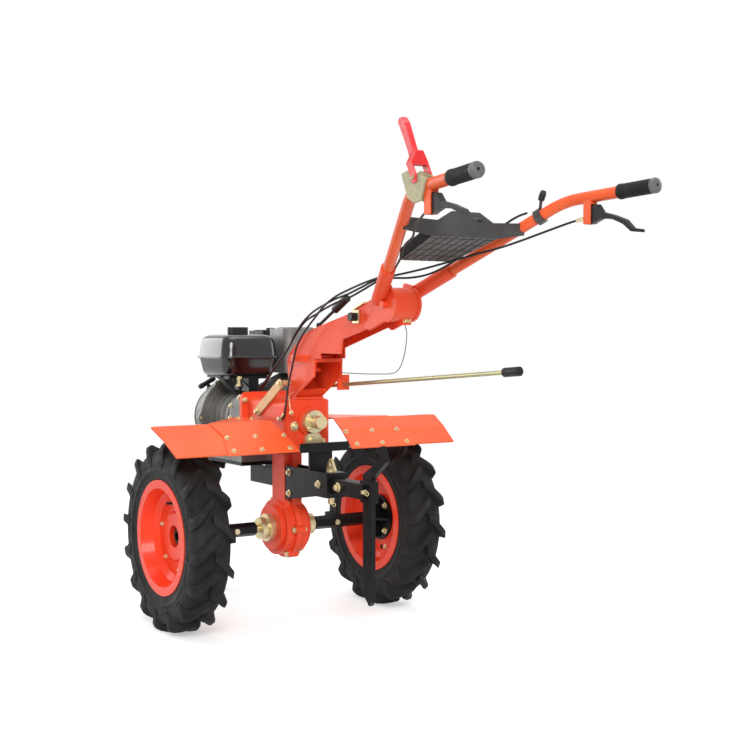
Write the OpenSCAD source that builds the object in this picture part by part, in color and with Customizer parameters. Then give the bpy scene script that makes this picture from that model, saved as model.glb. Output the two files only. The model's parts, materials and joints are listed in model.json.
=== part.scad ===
// Walk-behind two-wheel tractor on lugged tyres: petrol engine ahead of the axle, gear case with
// a drop leg, fenders, a swivelling and tilting handlebar, a rear hitch with a depth stake and a
// folding front stand. Millimetres, Z up, +Y ahead to the engine, +X to the operator's right.
// Sections give places as distances from the axle along Y and heights over the ground.

/* [Wheels] */
// Tyre diameter over the lugs
tyre_od = 474; // [420:1:540]
// Tyre width over the lugs
tyre_w = 104; // [96:1:130]
// Lug height over the tread
lug_h = 17; // [8:0.5:20]
// Lugs on each side of a tyre
lug_n = 16; // [12:1:20]
// Lug width at its foot
lug_t = 27; // [20:1:32]
// Lug width at its top
lug_top = 19; // [12:1:22]
// How far a lug sweeps along the tread
lug_sweep = 48; // [20:1:70]
// How far a lug runs past the middle of the tread
lug_past = 5; // [0:0.5:12]
// Rim diameter at the bead seat
rim_d = 254; // [220:1:280]
// Height of the rim flange
flange_h = 17; // [10:0.5:22]
// Rim width over the flanges
rim_w = 92; // [80:1:100]
// Rim sheet thickness
rim_t = 4; // [3:0.5:6]
// Distance between the middle planes of the wheels
track = 616; // [600:1:680]

/* [Axle] */
// Axle shaft diameter
shaft_d = 22; // [18:0.5:24]
// Hexagonal wheel tube across its flats
hex_af = 31; // [28:0.5:36]
// Wheel hub flange diameter
hub_d = 124; // [110:1:130]
// Wheel hub flange thickness
hub_t = 6; // [4:0.5:9]
// Cross pin diameter
axle_pin_d = 8; // [6:0.5:10]
// Distance of the cross pins from the middle
axle_pin_x = 150; // [120:1:170]

/* [Gear case] */
// Width of the upper gear case
case_w = 130; // [116:1:150]
// Distance of its rear face behind the axle
case_rear = 130; // [122:1:145]
// Distance of its engine flange ahead of the axle
case_front = 100; // [90:1:110]
// Height of its underside
case_z = 446; // [440:1:450]
// Height of the upper gear case
case_h = 131; // [125:1:140]
// Corner radius of the upper gear case
case_r = 20; // [10:1:28]
// Radius of the final drive housing
final_r = 72; // [64:1:80]
// Width of the final drive housing
final_w = 88; // [80:1:96]
// Width of the drop leg
leg_w = 51; // [46:1:58]
// Reach of the drop leg ahead of the axle
leg_front = 21; // [18:1:30]
// Reach of the drop leg behind the axle
leg_rear = 45; // [40:1:50]
// Bolted seam flange: thickness
seam_t = 16; // [10:1:22]
// Bolted seam flange: height over the housing
seam_h = 9; // [5:0.5:12]
// Bearing cap diameter
cap_d = 72; // [60:1:80]
// Bearing cap length
cap_l = 34; // [26:1:40]

/* [Power take-off] */
// Height of the take-off shaft
pto_z = 521; // [515:1:528]
// Take-off cover diameter
pto_d = 58; // [52:1:66]
// Take-off stub diameter
pto_stub_d = 32; // [26:1:40]
// Reach of the stub behind the case
pto_l = 62; // [45:1:75]
// Lower shaft cover height
low_cap_z = 472; // [470:1:474]
// Lower shaft cover diameter
low_cap_d = 48; // [40:1:50]

/* [Engine] */
// Height of the crankshaft
crank_z = 510; // [500:1:520]
// Height of the engine's base
base_z = 400; // [398:1:405]
// Crankcase width
block_w = 150; // [140:1:164]
// Crankcase length
block_l = 184; // [170:1:190]
// Fan housing radius
fan_r = 108; // [100:1:112]
// Fan housing length
fan_l = 72; // [60:1:80]
// Recoil starter radius
recoil_r = 86; // [70:1:95]
// Recoil starter length
recoil_l = 30; // [20:1:34]
// Fuel tank width
tank_w = 168; // [150:1:172]
// Fuel tank length
tank_l = 186; // [170:1:190]
// Fuel tank height
tank_h = 112; // [100:1:118]
// Height of the fuel tank's underside
tank_z = 628; // [626:1:634]
// Fuel cap diameter
fuel_cap_d = 52; // [46:1:60]
// Fuel cap height
fuel_cap_h = 20; // [14:1:26]
// Cylinder fins
fin_n = 6; // [4:1:8]

/* [Fenders] */
// Width over the fenders
fender_w = 832; // [800:1:860]
// Height of the fenders' flat top
fender_z = 524; // [518:1:530]
// Fender sheet thickness
fender_t = 3; // [2:0.5:4]
// Distance of the inner edge from the middle
fender_in = 92; // [84:1:100]
// Distance of the inner plate's outer edge from the middle
fender_mid = 264; // [250:1:280]
// Lap of the outer plate over the inner one
fender_lap = 40; // [30:1:60]

/* [Hitch] */
// Hitch pin diameter
hitch_pin_d = 16; // [12:0.5:20]
// Hitch clevis width
clevis_w = 56; // [52:1:62]
// Height of the drawbar's middle
draw_z = 371; // [366:1:376]
// Drawbar height
draw_h = 36; // [32:1:40]
// Drawbar width
draw_w = 36; // [30:1:40]
// Clevis plate thickness
clevis_t = 12; // [8:1:14]
// Distance of the hitch pin behind the axle
hitch_y = 236; // [228:1:244]
// Distance of the stake's middle behind the axle
stake_y = 409; // [400:1:420]
// Stake bar width
stake_w = 36; // [30:1:40]
// Stake bar thickness
stake_t = 12; // [8:0.5:14]
// Height of the stake's point over the ground
stake_tip = 101; // [60:1:150]

/* [Handle seat] */
// Width of the handle seat
seat_w = 82; // [76:1:90]
// Sheet thickness of the seat
seat_t = 5; // [4:0.5:6]
// Height of the swivel face
swivel_z = 682; // [676:1:690]
// Distance of the swivel axis behind the axle
swivel_y = 150; // [145:1:158]
// Swivel pin diameter
king_d = 24; // [18:0.5:28]
// Swivel plate diameter
swivel_d = 120; // [110:1:130]
// Swivel plate thickness
swivel_t = 8; // [6:0.5:10]
// Gear rod diameter
gear_rod_d = 10; // [8:0.5:12]

/* [Column] */
// Width of the column at the swivel
column_w = 88; // [80:1:96]
// Width of the column at the tilt hinge
column_end_w = 54; // [46:1:58]
// Column sheet thickness
column_t = 4; // [3:0.5:5]
// Distance of the tilt hinge behind the axle
tilt_y = 533; // [525:1:545]
// Height of the tilt hinge
tilt_z = 810; // [802:1:816]
// Tilt hinge diameter
tilt_d = 80; // [74:1:86]
// Tilt bolt diameter
tilt_bolt_d = 16; // [12:0.5:20]

/* [Handlebar] */
// Handlebar tube diameter
bar_d = 25; // [22:0.5:28]
// Handlebar tube wall
bar_wall = 2.5; // [1.5:0.25:4]
// Bend radius of the handlebar tube
bar_bend = 150; // [100:1:200]
// Height of the grips
grip_z = 1037; // [1020:1:1050]
// Distance between the grip ends
grip_span = 444; // [420:1:480]
// Distance of the grip ends behind the axle
grip_y = 1105; // [1080:1:1140]
// Grip length
grip_l = 95; // [80:1:110]
// Grip diameter
grip_d = 32; // [30:1:38]
// Socket tube diameter
socket_d = 33; // [31:0.5:36]
// Socket tube length
socket_l = 112; // [90:1:130]
// Cheek plate thickness
cheek_t = 8; // [6:0.5:10]
// Gap between the bars and the tool tray at its front
tray_front_gap = 14; // [5:1:20]
// Gap between the bars and the tool tray at its rear
tray_rear_gap = 58; // [40:1:70]
// Control cable diameter
cable_d = 5; // [4:0.5:6]
// Tool tray sheet thickness
tray_t = 3; // [2:0.5:4]

/* [Stand] */
// Distance of the stand's hinge ahead of the axle
stand_y = 418; // [410:1:425]
// Height of the stand's hinge
stand_z = 366; // [360:1:370]
// Stand tube diameter
stand_d = 25; // [20:1:30]
// Stand foot width
foot_w = 50; // [40:1:70]
// Stand hinge bolt diameter
stand_bolt_d = 12; // [10:0.5:14]

/* [Hidden] */
$fn = 72;

// Colours
orange = [0.93, 0.29, 0.13];
black = [0.09, 0.09, 0.10];
zinc = [0.80, 0.70, 0.42];
grey = [0.45, 0.44, 0.42];
red = [0.90, 0.18, 0.17];

// Clearances: running fits, faces of bodies that turn past each other, and cutters' overrun
fit = 0.05;
skin = 0.3;
over = 1;

// Places that follow from the sizes above
// Heights are drawn for this axle height; lift raises the machine to the tyres it stands on
axle_z = 237;
lift = tyre_od / 2 - axle_z;
ground = -lift;
wheel_x = track / 2;
case_top = case_z + case_h;
rim_r = rim_d / 2;
flange_r = rim_r + flange_h;
cap_x = final_w / 2 + cap_l;
stand_front = stand_y + 22;

// Rod from point p to point q
module rod(p, q, d) {
  v = q - p;
  translate(p) rotate([0, acos(v.z / norm(v)), atan2(v.y, v.x)]) cylinder(d = d, h = norm(v));
}

// Plate with an outline in Y and Z, between two places along X
module yz_plate(outline, x0, x1)
  translate([x0, 0, 0]) rotate([90, 0, 90]) linear_extrude(x1 - x0) polygon(outline);

// Cylinder along X, centred, and along Y from y0 to y1
module x_cylinder(d, l) rotate([0, 90, 0]) cylinder(d = d, h = l, center = true);
module y_cylinder(d, y0, y1) translate([0, y0, 0]) rotate([-90, 0, 0]) cylinder(d = d, h = y1 - y0);

// Rectangle with round corners, from its lower left corner
module round_rect(w, h, r) {
  translate([r, 0]) square([w - 2 * r, h]);
  translate([0, r]) square([w, h - 2 * r]);
  for (x = [r, w - r], y = [r, h - r])
    translate([x, y]) circle(r);
}

// Mirrored copies on both sides, or one side only
module both_sides() {
  children();
  mirror([1, 0, 0]) children();
}
module on_side(side) mirror([side < 0 ? 1 : 0, 0, 0]) children();

// Bent sheet: a path in Y and Z thickened to its left by t
function left_normal(a, b) = [a.y - b.y, b.x - a.x] / norm(b - a);
function shifted(path, t) = [
  for (i = [0 : len(path) - 1])
    let (a = max(i - 1, 0), b = min(i, len(path) - 2))
    let (m = left_normal(path[a], path[a + 1]) + left_normal(path[b], path[b + 1]))
    path[i] + t * 2 / (m * m) * m
];
function reversed(path) = [for (i = [len(path) - 1 : -1 : 0]) path[i]];
function sheet(path, t) = concat(path, reversed(shifted(path, t)));

// Solid through rings of points that follow each other, closed to a loop or capped at its ends
module swept(rings, closed = false) {
  n = len(rings);
  m = len(rings[0]);
  sides = [for (i = [0 : n - (closed ? 1 : 2)], j = [0 : m - 1])
    let (a = i * m + j, b = i * m + (j + 1) % m)
    let (c = (i + 1) % n * m + (j + 1) % m, d = (i + 1) % n * m + j)
    each [[a, c, b], [a, d, c]]];
  ends = [[for (j = [0 : m - 1]) j], [for (j = [m - 1 : -1 : 0]) (n - 1) * m + j]];
  polyhedron(points = [for (r = rings) each r], faces = closed ? sides : concat(sides, ends));
}

// Round cord along a route
cord_sides = 8;
function cord_ring(p, t, d) = let (n = cross(t, [1, 0, 0]) / norm(cross(t, [1, 0, 0])), b = cross(t, n))
  [for (a = [0 : 360 / cord_sides : 359]) p + d / 2 * (cos(a) * n + sin(a) * b)];
function heading(route, i) =
  let (v = route[min(i + 1, len(route) - 1)] - route[max(i - 1, 0)]) v / norm(v);
module cord(route, d) swept([for (i = [0 : len(route) - 1]) cord_ring(route[i], heading(route, i), d)]);

// Tube round one bend: from a towards the corner c and on to e, drawn in the plane of the bend.
// The tube necks slightly in the bend, and its straight runs lap onto the bent stretch.
bend_neck = 0.2;
bend_lap = 1;

module bent_tube(a, c, e, bend, d) {
  u = (c - a) / norm(c - a);
  v = (e - c) / norm(e - c);
  turn = acos(u * v);
  cut = bend * tan(turn / 2);
  n = (v - (u * v) * u) / norm(v - (u * v) * u);
  o = c - cut * u + bend * n;
  w = cross(-n, u);
  multmatrix([[-n.x, u.x, w.x, o.x], [-n.y, u.y, w.y, o.y], [-n.z, u.z, w.z, o.z], [0, 0, 0, 1]]) {
    translate([bend, bend_lap, 0]) rotate([90, 0, 0])
      cylinder(d = d, h = norm(c - a) - cut + bend_lap);
    rotate_extrude(angle = turn) translate([bend, 0]) circle(d = d - bend_neck);
    rotate(turn) translate([bend, -bend_lap, 0]) rotate([-90, 0, 0])
      cylinder(d = d, h = norm(e - c) - cut + bend_lap);
  }
}

// Wheels, drawn about the Z axis with the outside towards +Z, then put on the axle line
module on_wheel(side) translate([side * wheel_x, 0, axle_z]) rotate([0, side * 90, 0]) children();

tread_r = tyre_od / 2 - lug_h;
bead_gap = 0.05;
carcass_n = 34;
// Carcass: radius and half width from the bead over the sidewall to the crown
bead_half = rim_w / 2 - rim_t - bead_gap;
facet = cos(180 / carcass_n);
carcass = [[(rim_r + bead_gap) / facet, bead_half], [(flange_r + bead_gap) / facet, bead_half],
  [flange_r + 21, tyre_w / 2 - 3], [tread_r - 32, tyre_w / 2 - 1], [tread_r - 13, tyre_w / 2 - 6],
  [tread_r, tyre_w / 4]];
// Lug stations from past the middle of the tread down to its tip on the sidewall:
// place across the tread, share of the sweep, share of the width, foot radius, top radius
tyre_r = tyre_od / 2;
lug_stations = [[-lug_past, -0.5, 1, tread_r - 4, tyre_r - 1], [tyre_w * 0.27, 0.1, 1, tread_r - 4, tyre_r],
  [tyre_w / 2 - 1, 0.5, 1, tread_r - 24, tyre_r - 7], [tyre_w / 2, 0.56, 0.4, tread_r - 33, tread_r - 23]];

module tyre(side) color(black) on_wheel(side) {
  profile = concat(carcass, reversed([for (p = carcass) [p.x, -p.y]]));
  swept([for (i = [0 : carcass_n - 1]) let (a = (i + 0.5) * 360 / carcass_n)
    [for (p = profile) [p.x * cos(a), p.x * sin(a), p.y]]], closed = true);
  for (row = [0, 1], i = [0 : lug_n - 1])
    mirror([0, 0, row]) rotate(360 / lug_n * (i + row / 2)) lug(side);
}

// One lug of the row on the +Z half of the tread, lying across the +X direction
function lug_point(s, side, w, r) =
  let (a = (side * s[1] * lug_sweep + w * s[2] / 2) / tread_r * 180 / PI) [r * cos(a), r * sin(a), s[0]];
module lug(side) swept([for (s = reversed(lug_stations)) [lug_point(s, side, -lug_t, s[3]),
  lug_point(s, side, lug_t, s[3]), lug_point(s, side, lug_top, s[4]), lug_point(s, side, -lug_top, s[4])]]);

dish_r = 112;
dish_w = 15;
disc_r = 98;
disc_t = 6;
boss_w = 8;
rim_bore = 56;
valve_d = 14;

module rim(side) color(orange) on_wheel(side) difference() {
  half = [[rim_bore / 2, boss_w], [hub_d / 2 - 4, boss_w], [hub_d / 2 + 2, disc_t / 2],
    [disc_r, disc_t / 2], [dish_r, dish_w], [rim_r - rim_t, rim_w / 2], [flange_r, rim_w / 2],
    [flange_r, rim_w / 2 - rim_t], [rim_r, rim_w / 2 - rim_t]];
  rotate_extrude() polygon(concat(half, reversed([for (p = half) [p.x, -p.y]])));
  translate([disc_r - valve_d, 0, 0]) cylinder(d = valve_d, h = disc_t + 2 * over, center = true);
}

// Hexagonal wheel tube with its gusseted flange
hub_in = cap_x + 12;
hub_face = wheel_x - boss_w;
gusset_l = 52;
gusset_t = 6;

module hub(side) color(black) on_side(side) translate([0, 0, axle_z]) difference() {
  union() {
    translate([hub_in, 0, 0]) rotate([0, 90, 0])
      cylinder(d = hex_af / cos(30), h = wheel_x - hub_in, $fn = 6);
    translate([hub_face - hub_t, 0, 0]) rotate([0, 90, 0]) cylinder(d = hub_d, h = hub_t);
    for (a = [0 : 90 : 270])
      rotate([a, 0, 0]) rotate([90, 0, 0]) linear_extrude(gusset_t, center = true) polygon([
        [hub_face - hub_t - gusset_l, hex_af / 2 - 2], [hub_face - hub_t + over, hex_af / 2 - 2],
        [hub_face - hub_t + over, hub_d / 2 - 6], [hub_face - hub_t - 6, hub_d / 2 - 6]]);
  }
  translate([hub_in - over, 0, 0]) rotate([0, 90, 0])
    cylinder(d = shaft_d + 2 * fit, h = wheel_x - hub_in + 2 * over);
  translate([axle_pin_x, 0, 0]) rotate([90, 0, 0])
    cylinder(d = axle_pin_d + 2 * fit, h = 2 * hex_af, center = true);
}

shaft_past_pin = 30;

module axle_shaft() color(zinc) translate([0, 0, axle_z]) difference() {
  x_cylinder(shaft_d, 2 * (axle_pin_x + shaft_past_pin));
  both_sides() translate([axle_pin_x, 0, 0]) rotate([90, 0, 0])
    cylinder(d = axle_pin_d + 2 * fit, h = 2 * hex_af, center = true);
}

pin_head_d = 14;
pin_head_h = 7;

module axle_pins() color(zinc) both_sides() translate([axle_pin_x, 0, axle_z]) {
  rotate([90, 0, 0]) cylinder(d = axle_pin_d, h = hex_af + 16, center = true);
  rotate([90, 0, 0]) translate([0, 0, hex_af / 2 + 1]) cylinder(d = pin_head_d, h = pin_head_h);
}

// Final drive: a round housing on the axle, a drop leg and the seam flange where its halves meet
seam_bolt_d = 22;
leg_flange_t = 12;
leg_flange_in = 12;
shaft_room = 3;

module final_drive() color(orange) difference() {
  union() {
    translate([0, 0, axle_z]) {
      x_cylinder(2 * final_r, final_w - 24);
      x_cylinder(2 * final_r - 24, final_w);
      x_cylinder(2 * (final_r + seam_h), seam_t);
      for (a = [-150 : 60 : 150])
        rotate([a, 0, 0]) translate([0, 0, -final_r - seam_h / 2]) x_cylinder(seam_bolt_d, seam_t + 12);
    }
    translate([-leg_w / 2, -leg_rear, axle_z]) cube([leg_w, leg_rear + leg_front, case_z - axle_z]);
    translate([-seam_t / 2, -leg_rear - seam_h, axle_z])
      cube([seam_t, leg_rear + leg_front + 2 * seam_h, case_z - axle_z]);
    translate([-case_w / 2 + leg_flange_in, -leg_rear - 26, case_z - leg_flange_t])
      linear_extrude(leg_flange_t) round_rect(case_w - 2 * leg_flange_in, leg_rear + leg_front + 44, 14);
  }
  translate([0, 0, axle_z]) x_cylinder(shaft_d + 2 * shaft_room, final_w + 2 * over);
}

module bearing_caps() color(zinc) both_sides() translate([final_w / 2, 0, axle_z])
  rotate([0, 90, 0]) difference() {
    union() {
      cylinder(d = cap_d, h = cap_l * 0.45);
      cylinder(d = cap_d - 16, h = cap_l);
    }
    translate([0, 0, -over]) cylinder(d = shaft_d + 2 * fit, h = cap_l + 2 * over);
  }

// Upper gear case: a box rounded in plan and over its top, with the engine flange and shaft bosses
engine_flange_t = 14;
engine_flange_w = 162;
engine_flange_z = 430;
engine_flange_h = 158;
boss_l = 9;
rod_boss_d = 24;

module gear_case() color(orange) {
  intersection() {
    translate([-case_w / 2, -case_rear, case_z]) linear_extrude(case_h)
      round_rect(case_w, case_rear + case_front, case_r);
    translate([-case_w / 2, case_front, case_z - case_r]) rotate([90, 0, 0])
      linear_extrude(case_rear + case_front) round_rect(case_w, case_h + case_r, case_r);
  }
  translate([-engine_flange_w / 2, case_front, engine_flange_z]) rotate([90, 0, 0])
    linear_extrude(engine_flange_t) round_rect(engine_flange_w, engine_flange_h, case_r);
  translate([0, 0, pto_z]) y_cylinder(pto_d + 14, -case_rear - boss_l, -case_rear + boss_l);
  translate([0, 0, low_cap_z]) y_cylinder(low_cap_d + 2, -case_rear - boss_l, -case_rear + boss_l);
  translate([case_w / 2 - rod_boss_d / 2, -rod_y, case_top - case_r]) cylinder(d = rod_boss_d, h = case_r);
}

pto_cover_l = 20;
low_cover_l = 14;
low_stub_d = 26;

module shaft_covers() color(zinc) translate([0, -case_rear - boss_l, 0]) {
  translate([0, 0, pto_z]) {
    y_cylinder(pto_d, -pto_cover_l, 0);
    y_cylinder(pto_stub_d, -pto_l + boss_l, 0);
  }
  translate([0, 0, low_cap_z]) intersection() {
    union() {
      y_cylinder(low_cap_d, -low_cover_l, 0);
      y_cylinder(low_stub_d, -low_cover_l - 6, 0);
    }
    translate([-low_cap_d, -low_cap_d, -low_cap_d])
      cube([2 * low_cap_d, 2 * low_cap_d, low_cap_d + pto_z - low_cap_z - pto_d / 2 - 0.5]);
  }
}

// Engine bed: side plates on the drop leg, a plate under the engine, a bumper and the stand's lugs
bed_t = 10;
bed_w = 150;
bed_side_h = 47;
bed_side_l = 124;
bed_side_t = 6;
bed_foot_w = 14;
bumper_d = 24;
bumper_past = 30;
lug_gap = 36;
lug_plate_t = 6;
lug_reach = 16;
bed_z = base_z - bed_t;
bumper_y = stand_front - bumper_d / 2;

module engine_bed() color(black) difference() {
  union() {
    translate([-bed_w / 2, case_front, bed_z]) cube([bed_w, bumper_y - case_front, bed_t]);
    both_sides() {
      translate([leg_w / 2 - bed_side_t, leg_front, bed_z - bed_side_h])
        cube([bed_side_t, bed_side_l, bed_side_h + over]);
      translate([leg_w / 2 - bed_foot_w, leg_front, bed_z - bed_side_h])
        cube([bed_foot_w, bed_side_t, bed_side_h + over]);
      yz_plate([[stand_y - 2 * lug_reach, bed_z + over], [stand_y + lug_reach, bed_z + over],
        [stand_y + lug_reach, stand_z - lug_reach], [stand_y - lug_reach, stand_z - lug_reach]],
        lug_gap / 2, lug_gap / 2 + lug_plate_t);
    }
    translate([0, bumper_y, bed_z + bed_t / 2]) x_cylinder(bumper_d, bed_w + 2 * bumper_past);
  }
  translate([-seam_t / 2 - skin, leg_front - over, 0])
    cube([seam_t + 2 * skin, seam_h + over + skin, bed_z - skin]);
  translate([0, stand_y, stand_z]) x_cylinder(stand_bolt_d, lug_gap + 4 * lug_plate_t);
}

bolt_head_d = 20;
bolt_head_h = 8;

module stand_bolt() color(zinc) translate([0, stand_y, stand_z]) {
  x_cylinder(stand_bolt_d, lug_gap + 2 * lug_plate_t + 2 * bolt_head_h);
  both_sides() translate([lug_gap / 2 + lug_plate_t, 0, 0]) rotate([0, 90, 0])
    cylinder(d = bolt_head_d, h = bolt_head_h, $fn = 6);
}

// Front stand: a knuckle on the hinge, a leg that leans back under load and a cross foot
foot_d = 22;
foot_back = 10;
knuckle_d = 32;

module stand() color(black) difference() {
  union() {
    translate([0, stand_y, stand_z]) x_cylinder(knuckle_d, lug_gap - 2 * skin);
    rod([0, stand_y, stand_z], [0, stand_y - foot_back, ground + foot_d / 2], stand_d);
    translate([0, stand_y - foot_back, ground + foot_d / 2]) x_cylinder(foot_d, foot_w);
  }
  translate([0, stand_y, stand_z]) x_cylinder(stand_bolt_d + 2 * fit, lug_gap + 2 * over);
}

// Engine: crankcase, finned cylinder leaning to the right, fan housing, tank, filter and silencer
block_y = case_front;
block_end = block_y + block_l;
sump_h = 34;
cylinder_lean = 25;
cylinder_l = 170;
fins_from = 76;
fin_t = 5;
fin_w = 116;
barrel_w = 92;
head_l = 44;

module crankcase() color(grey) {
  translate([0, 0, crank_z]) y_cylinder(block_w - 10, block_y, block_end);
  translate([-block_w / 2, block_y, base_z]) cube([block_w, block_l, sump_h]);
  translate([-block_w / 2 + 12, block_y, base_z]) cube([block_w - 24, block_l, crank_z - base_z]);
  translate([0, 0, crank_z]) y_cylinder(block_w - 30, block_y, block_end);
}

module cylinder_block() color(grey) difference() {
  translate([0, block_y + block_l / 2, crank_z]) rotate([0, -cylinder_lean, 0]) {
    translate([0, -barrel_w / 2, -barrel_w / 2]) cube([cylinder_l - head_l, barrel_w, barrel_w]);
    for (i = [0 : fin_n - 1])
      translate([fins_from + i * (cylinder_l - head_l - fins_from) / fin_n, -fin_w / 2, -fin_w / 2])
        cube([fin_t, fin_w, fin_w]);
    translate([cylinder_l - head_l, -fin_w / 2, -fin_w / 2]) cube([head_l, fin_w, fin_w]);
  }
  translate([0, 0, crank_z]) y_cylinder(block_w - 10, block_y - over, block_end + over);
  translate([-block_w / 2, block_y - over, base_z - over])
    cube([block_w, block_l + 2 * over, sump_h + 4]);
  translate([-block_w / 2 + 12, block_y - over, base_z - over])
    cube([block_w - 24, block_l + 2 * over, crank_z - base_z]);
}

fan_step = 24;

module fan_housing() color(grey) translate([0, block_end, crank_z]) rotate([-90, 0, 0])
  rotate_extrude() polygon([[0, 0], [fan_r, 0], [fan_r, fan_step], [recoil_r + 2, fan_l], [0, fan_l]]);

recoil_slots = 12;
slot_from = 38;
slot_l = 26;
slot_w = 8;
slot_depth = 6;

module recoil_starter() color(black) translate([0, block_end + fan_l, crank_z]) rotate([-90, 0, 0])
  difference() {
    rotate_extrude() polygon([[0, 0], [recoil_r, 0], [recoil_r, recoil_l / 2],
      [recoil_r - 14, recoil_l], [0, recoil_l]]);
    for (i = [0 : recoil_slots - 1])
      rotate(i * 360 / recoil_slots) translate([slot_from, -slot_w / 2, recoil_l - slot_depth])
        cube([slot_l, slot_w, slot_depth + over]);
  }

tank_left = 112;
tank_y = case_front + 20;
tank_r = 26;
tank_seam_z = 48;
tank_seam_t = 5;
tank_seam_w = 4;
tank_slope = 12;
tank_crown = 10;
tank_seam_top = tank_seam_z + tank_seam_t;
function tank_side(w) = [[tank_slope, 0], [w - tank_slope, 0], [w, tank_seam_z], [w, tank_seam_top],
  [w - tank_slope / 2, tank_h - tank_crown], [w - 2 * tank_slope, tank_h], [2 * tank_slope, tank_h],
  [tank_slope / 2, tank_h - tank_crown], [0, tank_seam_top], [0, tank_seam_z]];

module fuel_tank() color(black) translate([-tank_left, tank_y, tank_z]) {
  intersection() {
    linear_extrude(tank_h) round_rect(tank_w, tank_l, tank_r);
    translate([0, tank_l, 0]) rotate([90, 0, 0]) linear_extrude(tank_l) polygon(tank_side(tank_w));
    rotate([90, 0, 90]) linear_extrude(tank_w) polygon(tank_side(tank_l));
  }
  translate([-tank_seam_w, -tank_seam_w, tank_seam_z]) linear_extrude(tank_seam_t)
    round_rect(tank_w + 2 * tank_seam_w, tank_l + 2 * tank_seam_w, tank_r + tank_seam_w);
}

module fuel_cap() color(black)
  translate([-tank_left + tank_w / 2, tank_y + tank_l / 2, tank_z + tank_h]) {
    cylinder(d = fuel_cap_d, h = fuel_cap_h);
    for (a = [0 : 30 : 330])
      rotate(a) translate([fuel_cap_d / 2 - 1, 0, 0]) cylinder(d = 6, h = fuel_cap_h);
  }

// Tank bracket: a plate under the tank, a block on the crankcase and a strut down to the engine flange
bracket_in = 24;
tank_plate_t = 6;
tank_block_w = 60;
strut_x = 60;
strut_t = 5;

module tank_bracket() color(black) {
  y0 = tank_y + bracket_in;
  top = engine_flange_z + engine_flange_h;
  translate([-tank_left + bracket_in, y0, tank_z - tank_plate_t])
    cube([tank_w - 2 * bracket_in, tank_l - 2 * bracket_in, tank_plate_t]);
  difference() {
    translate([-tank_block_w / 2, y0, crank_z]) cube([tank_block_w, tank_block_w, tank_z - crank_z - over]);
    translate([0, 0, crank_z]) y_cylinder(block_w - 10 + 2 * fit, y0 - over, y0 + tank_block_w + over);
    translate([0, y0 - over, 0]) cube([block_w, tank_block_w + 2 * over, tank_z - tank_plate_t - 2 * over]);
  }
  foot = case_front - engine_flange_t;
  yz_plate([[y0 + 2 * bracket_in, tank_z - over], [y0, tank_z - over], [foot, top + 10], [foot, top],
    [case_front, top], [y0 + bracket_in, tank_z - 3 * bracket_in / 2]], -strut_x, -strut_x + strut_t);
}

filter_x = tank_w - tank_left + tank_seam_w + 10;
filter_w = 110;
filter_z = crank_z + cylinder_l * sin(cylinder_lean) + fin_w / 2 * cos(cylinder_lean);
filter_h = 116;

module air_cleaner() color(black) translate([filter_x, block_end - 40, filter_z]) {
  linear_extrude(filter_h * 0.6) round_rect(filter_w, 120, 18);
  translate([6, 6, 0]) linear_extrude(filter_h) round_rect(filter_w - 12, 108, 16);
}

module muffler() color(grey) translate([filter_x, case_front + 14, filter_z])
  linear_extrude(filter_h + 6) round_rect(filter_w + 10, 112, 22);

// Fenders: an inner plate with a slanted front edge, an outer plate bolted below it, both bent down behind
fender_fold = 95;
fender_path = [[72, fender_z], [-fender_fold, fender_z], [-150, fender_z - 27], [-214, fender_z - 69]];
fender_end = 220;
wing_end = 205;
wing_taper = 16;
fender_taper = 18;
fender_nose = 16;

module fender(side) color(orange) on_side(side) intersection() {
  yz_plate(sheet(fender_path, fender_t), 0, fender_w / 2);
  linear_extrude(2 * fender_z) polygon([[fender_in, fender_path[0].x], [fender_in, -fender_fold],
    [fender_in - fender_taper, -fender_end], [fender_mid + 8, -fender_end], [fender_mid - 12, -150],
    [fender_mid, -fender_fold], [fender_in + fender_nose, fender_path[0].x]]);
}

module fender_wing(side) color(orange) on_side(side) intersection() {
  yz_plate(sheet(shifted(fender_path, fender_t), fender_t), 0, fender_w / 2);
  linear_extrude(2 * fender_z) polygon([[fender_mid - fender_lap, -fender_fold + fender_nose],
    [fender_mid - fender_lap + 14, -wing_end], [fender_w / 2 - wing_taper, -wing_end],
    [fender_w / 2, -fender_fold], [fender_w / 2 - wing_taper, -fender_fold + fender_nose]]);
}

bracket_t = 6;
bracket_y = 187;
bracket_w = 40;
bracket_half = 130;
bracket_drop = 74;
post_w = 66;
lip_half = 70;
lip_h = 16;
arm_w = 40;
arm_reach = fender_in + 50;
arm_h = 50;

module fender_bracket() color(black) {
  translate([-bracket_half, -bracket_y - bracket_w / 2, fender_z - bracket_drop])
    cube([2 * bracket_half, bracket_w, bracket_t]);
  translate([-lip_half, -bracket_y - bracket_w / 2, fender_z - bracket_drop])
    cube([2 * lip_half, bracket_t, bracket_t + lip_h]);
  translate([-post_w / 2, -bracket_y, hitch_top])
    cube([post_w, bracket_t, fender_z - bracket_drop - hitch_top + over]);
  both_sides() {
    translate([case_w / 2, -arm_w / 2, fender_z - fender_t - bracket_t])
      cube([arm_reach - case_w / 2, arm_w, bracket_t]);
    translate([case_w / 2, -arm_w / 2, fender_z - fender_t - arm_h]) cube([bracket_t, arm_w, arm_h]);
  }
}

// Hitch: side plates behind the drop leg carry a box; a pin holds the drawbar, and this the stake
hitch_side_t = 6;
hitch_in = 18;
hitch_foot_t = 8;
hitch_foot_in = 10;
hitch_foot_z = 314;
clevis_gap = 0.5;
clevis_end = 26;
clevis_from = 30;
draw_from = 22;
hitch_top = draw_z + draw_h / 2 + clevis_gap + clevis_t;
hitch_low = draw_z - draw_h / 2 - clevis_gap - clevis_t;
hitch_h = hitch_top - hitch_low;
box_front = -hitch_y + clevis_from;

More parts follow.
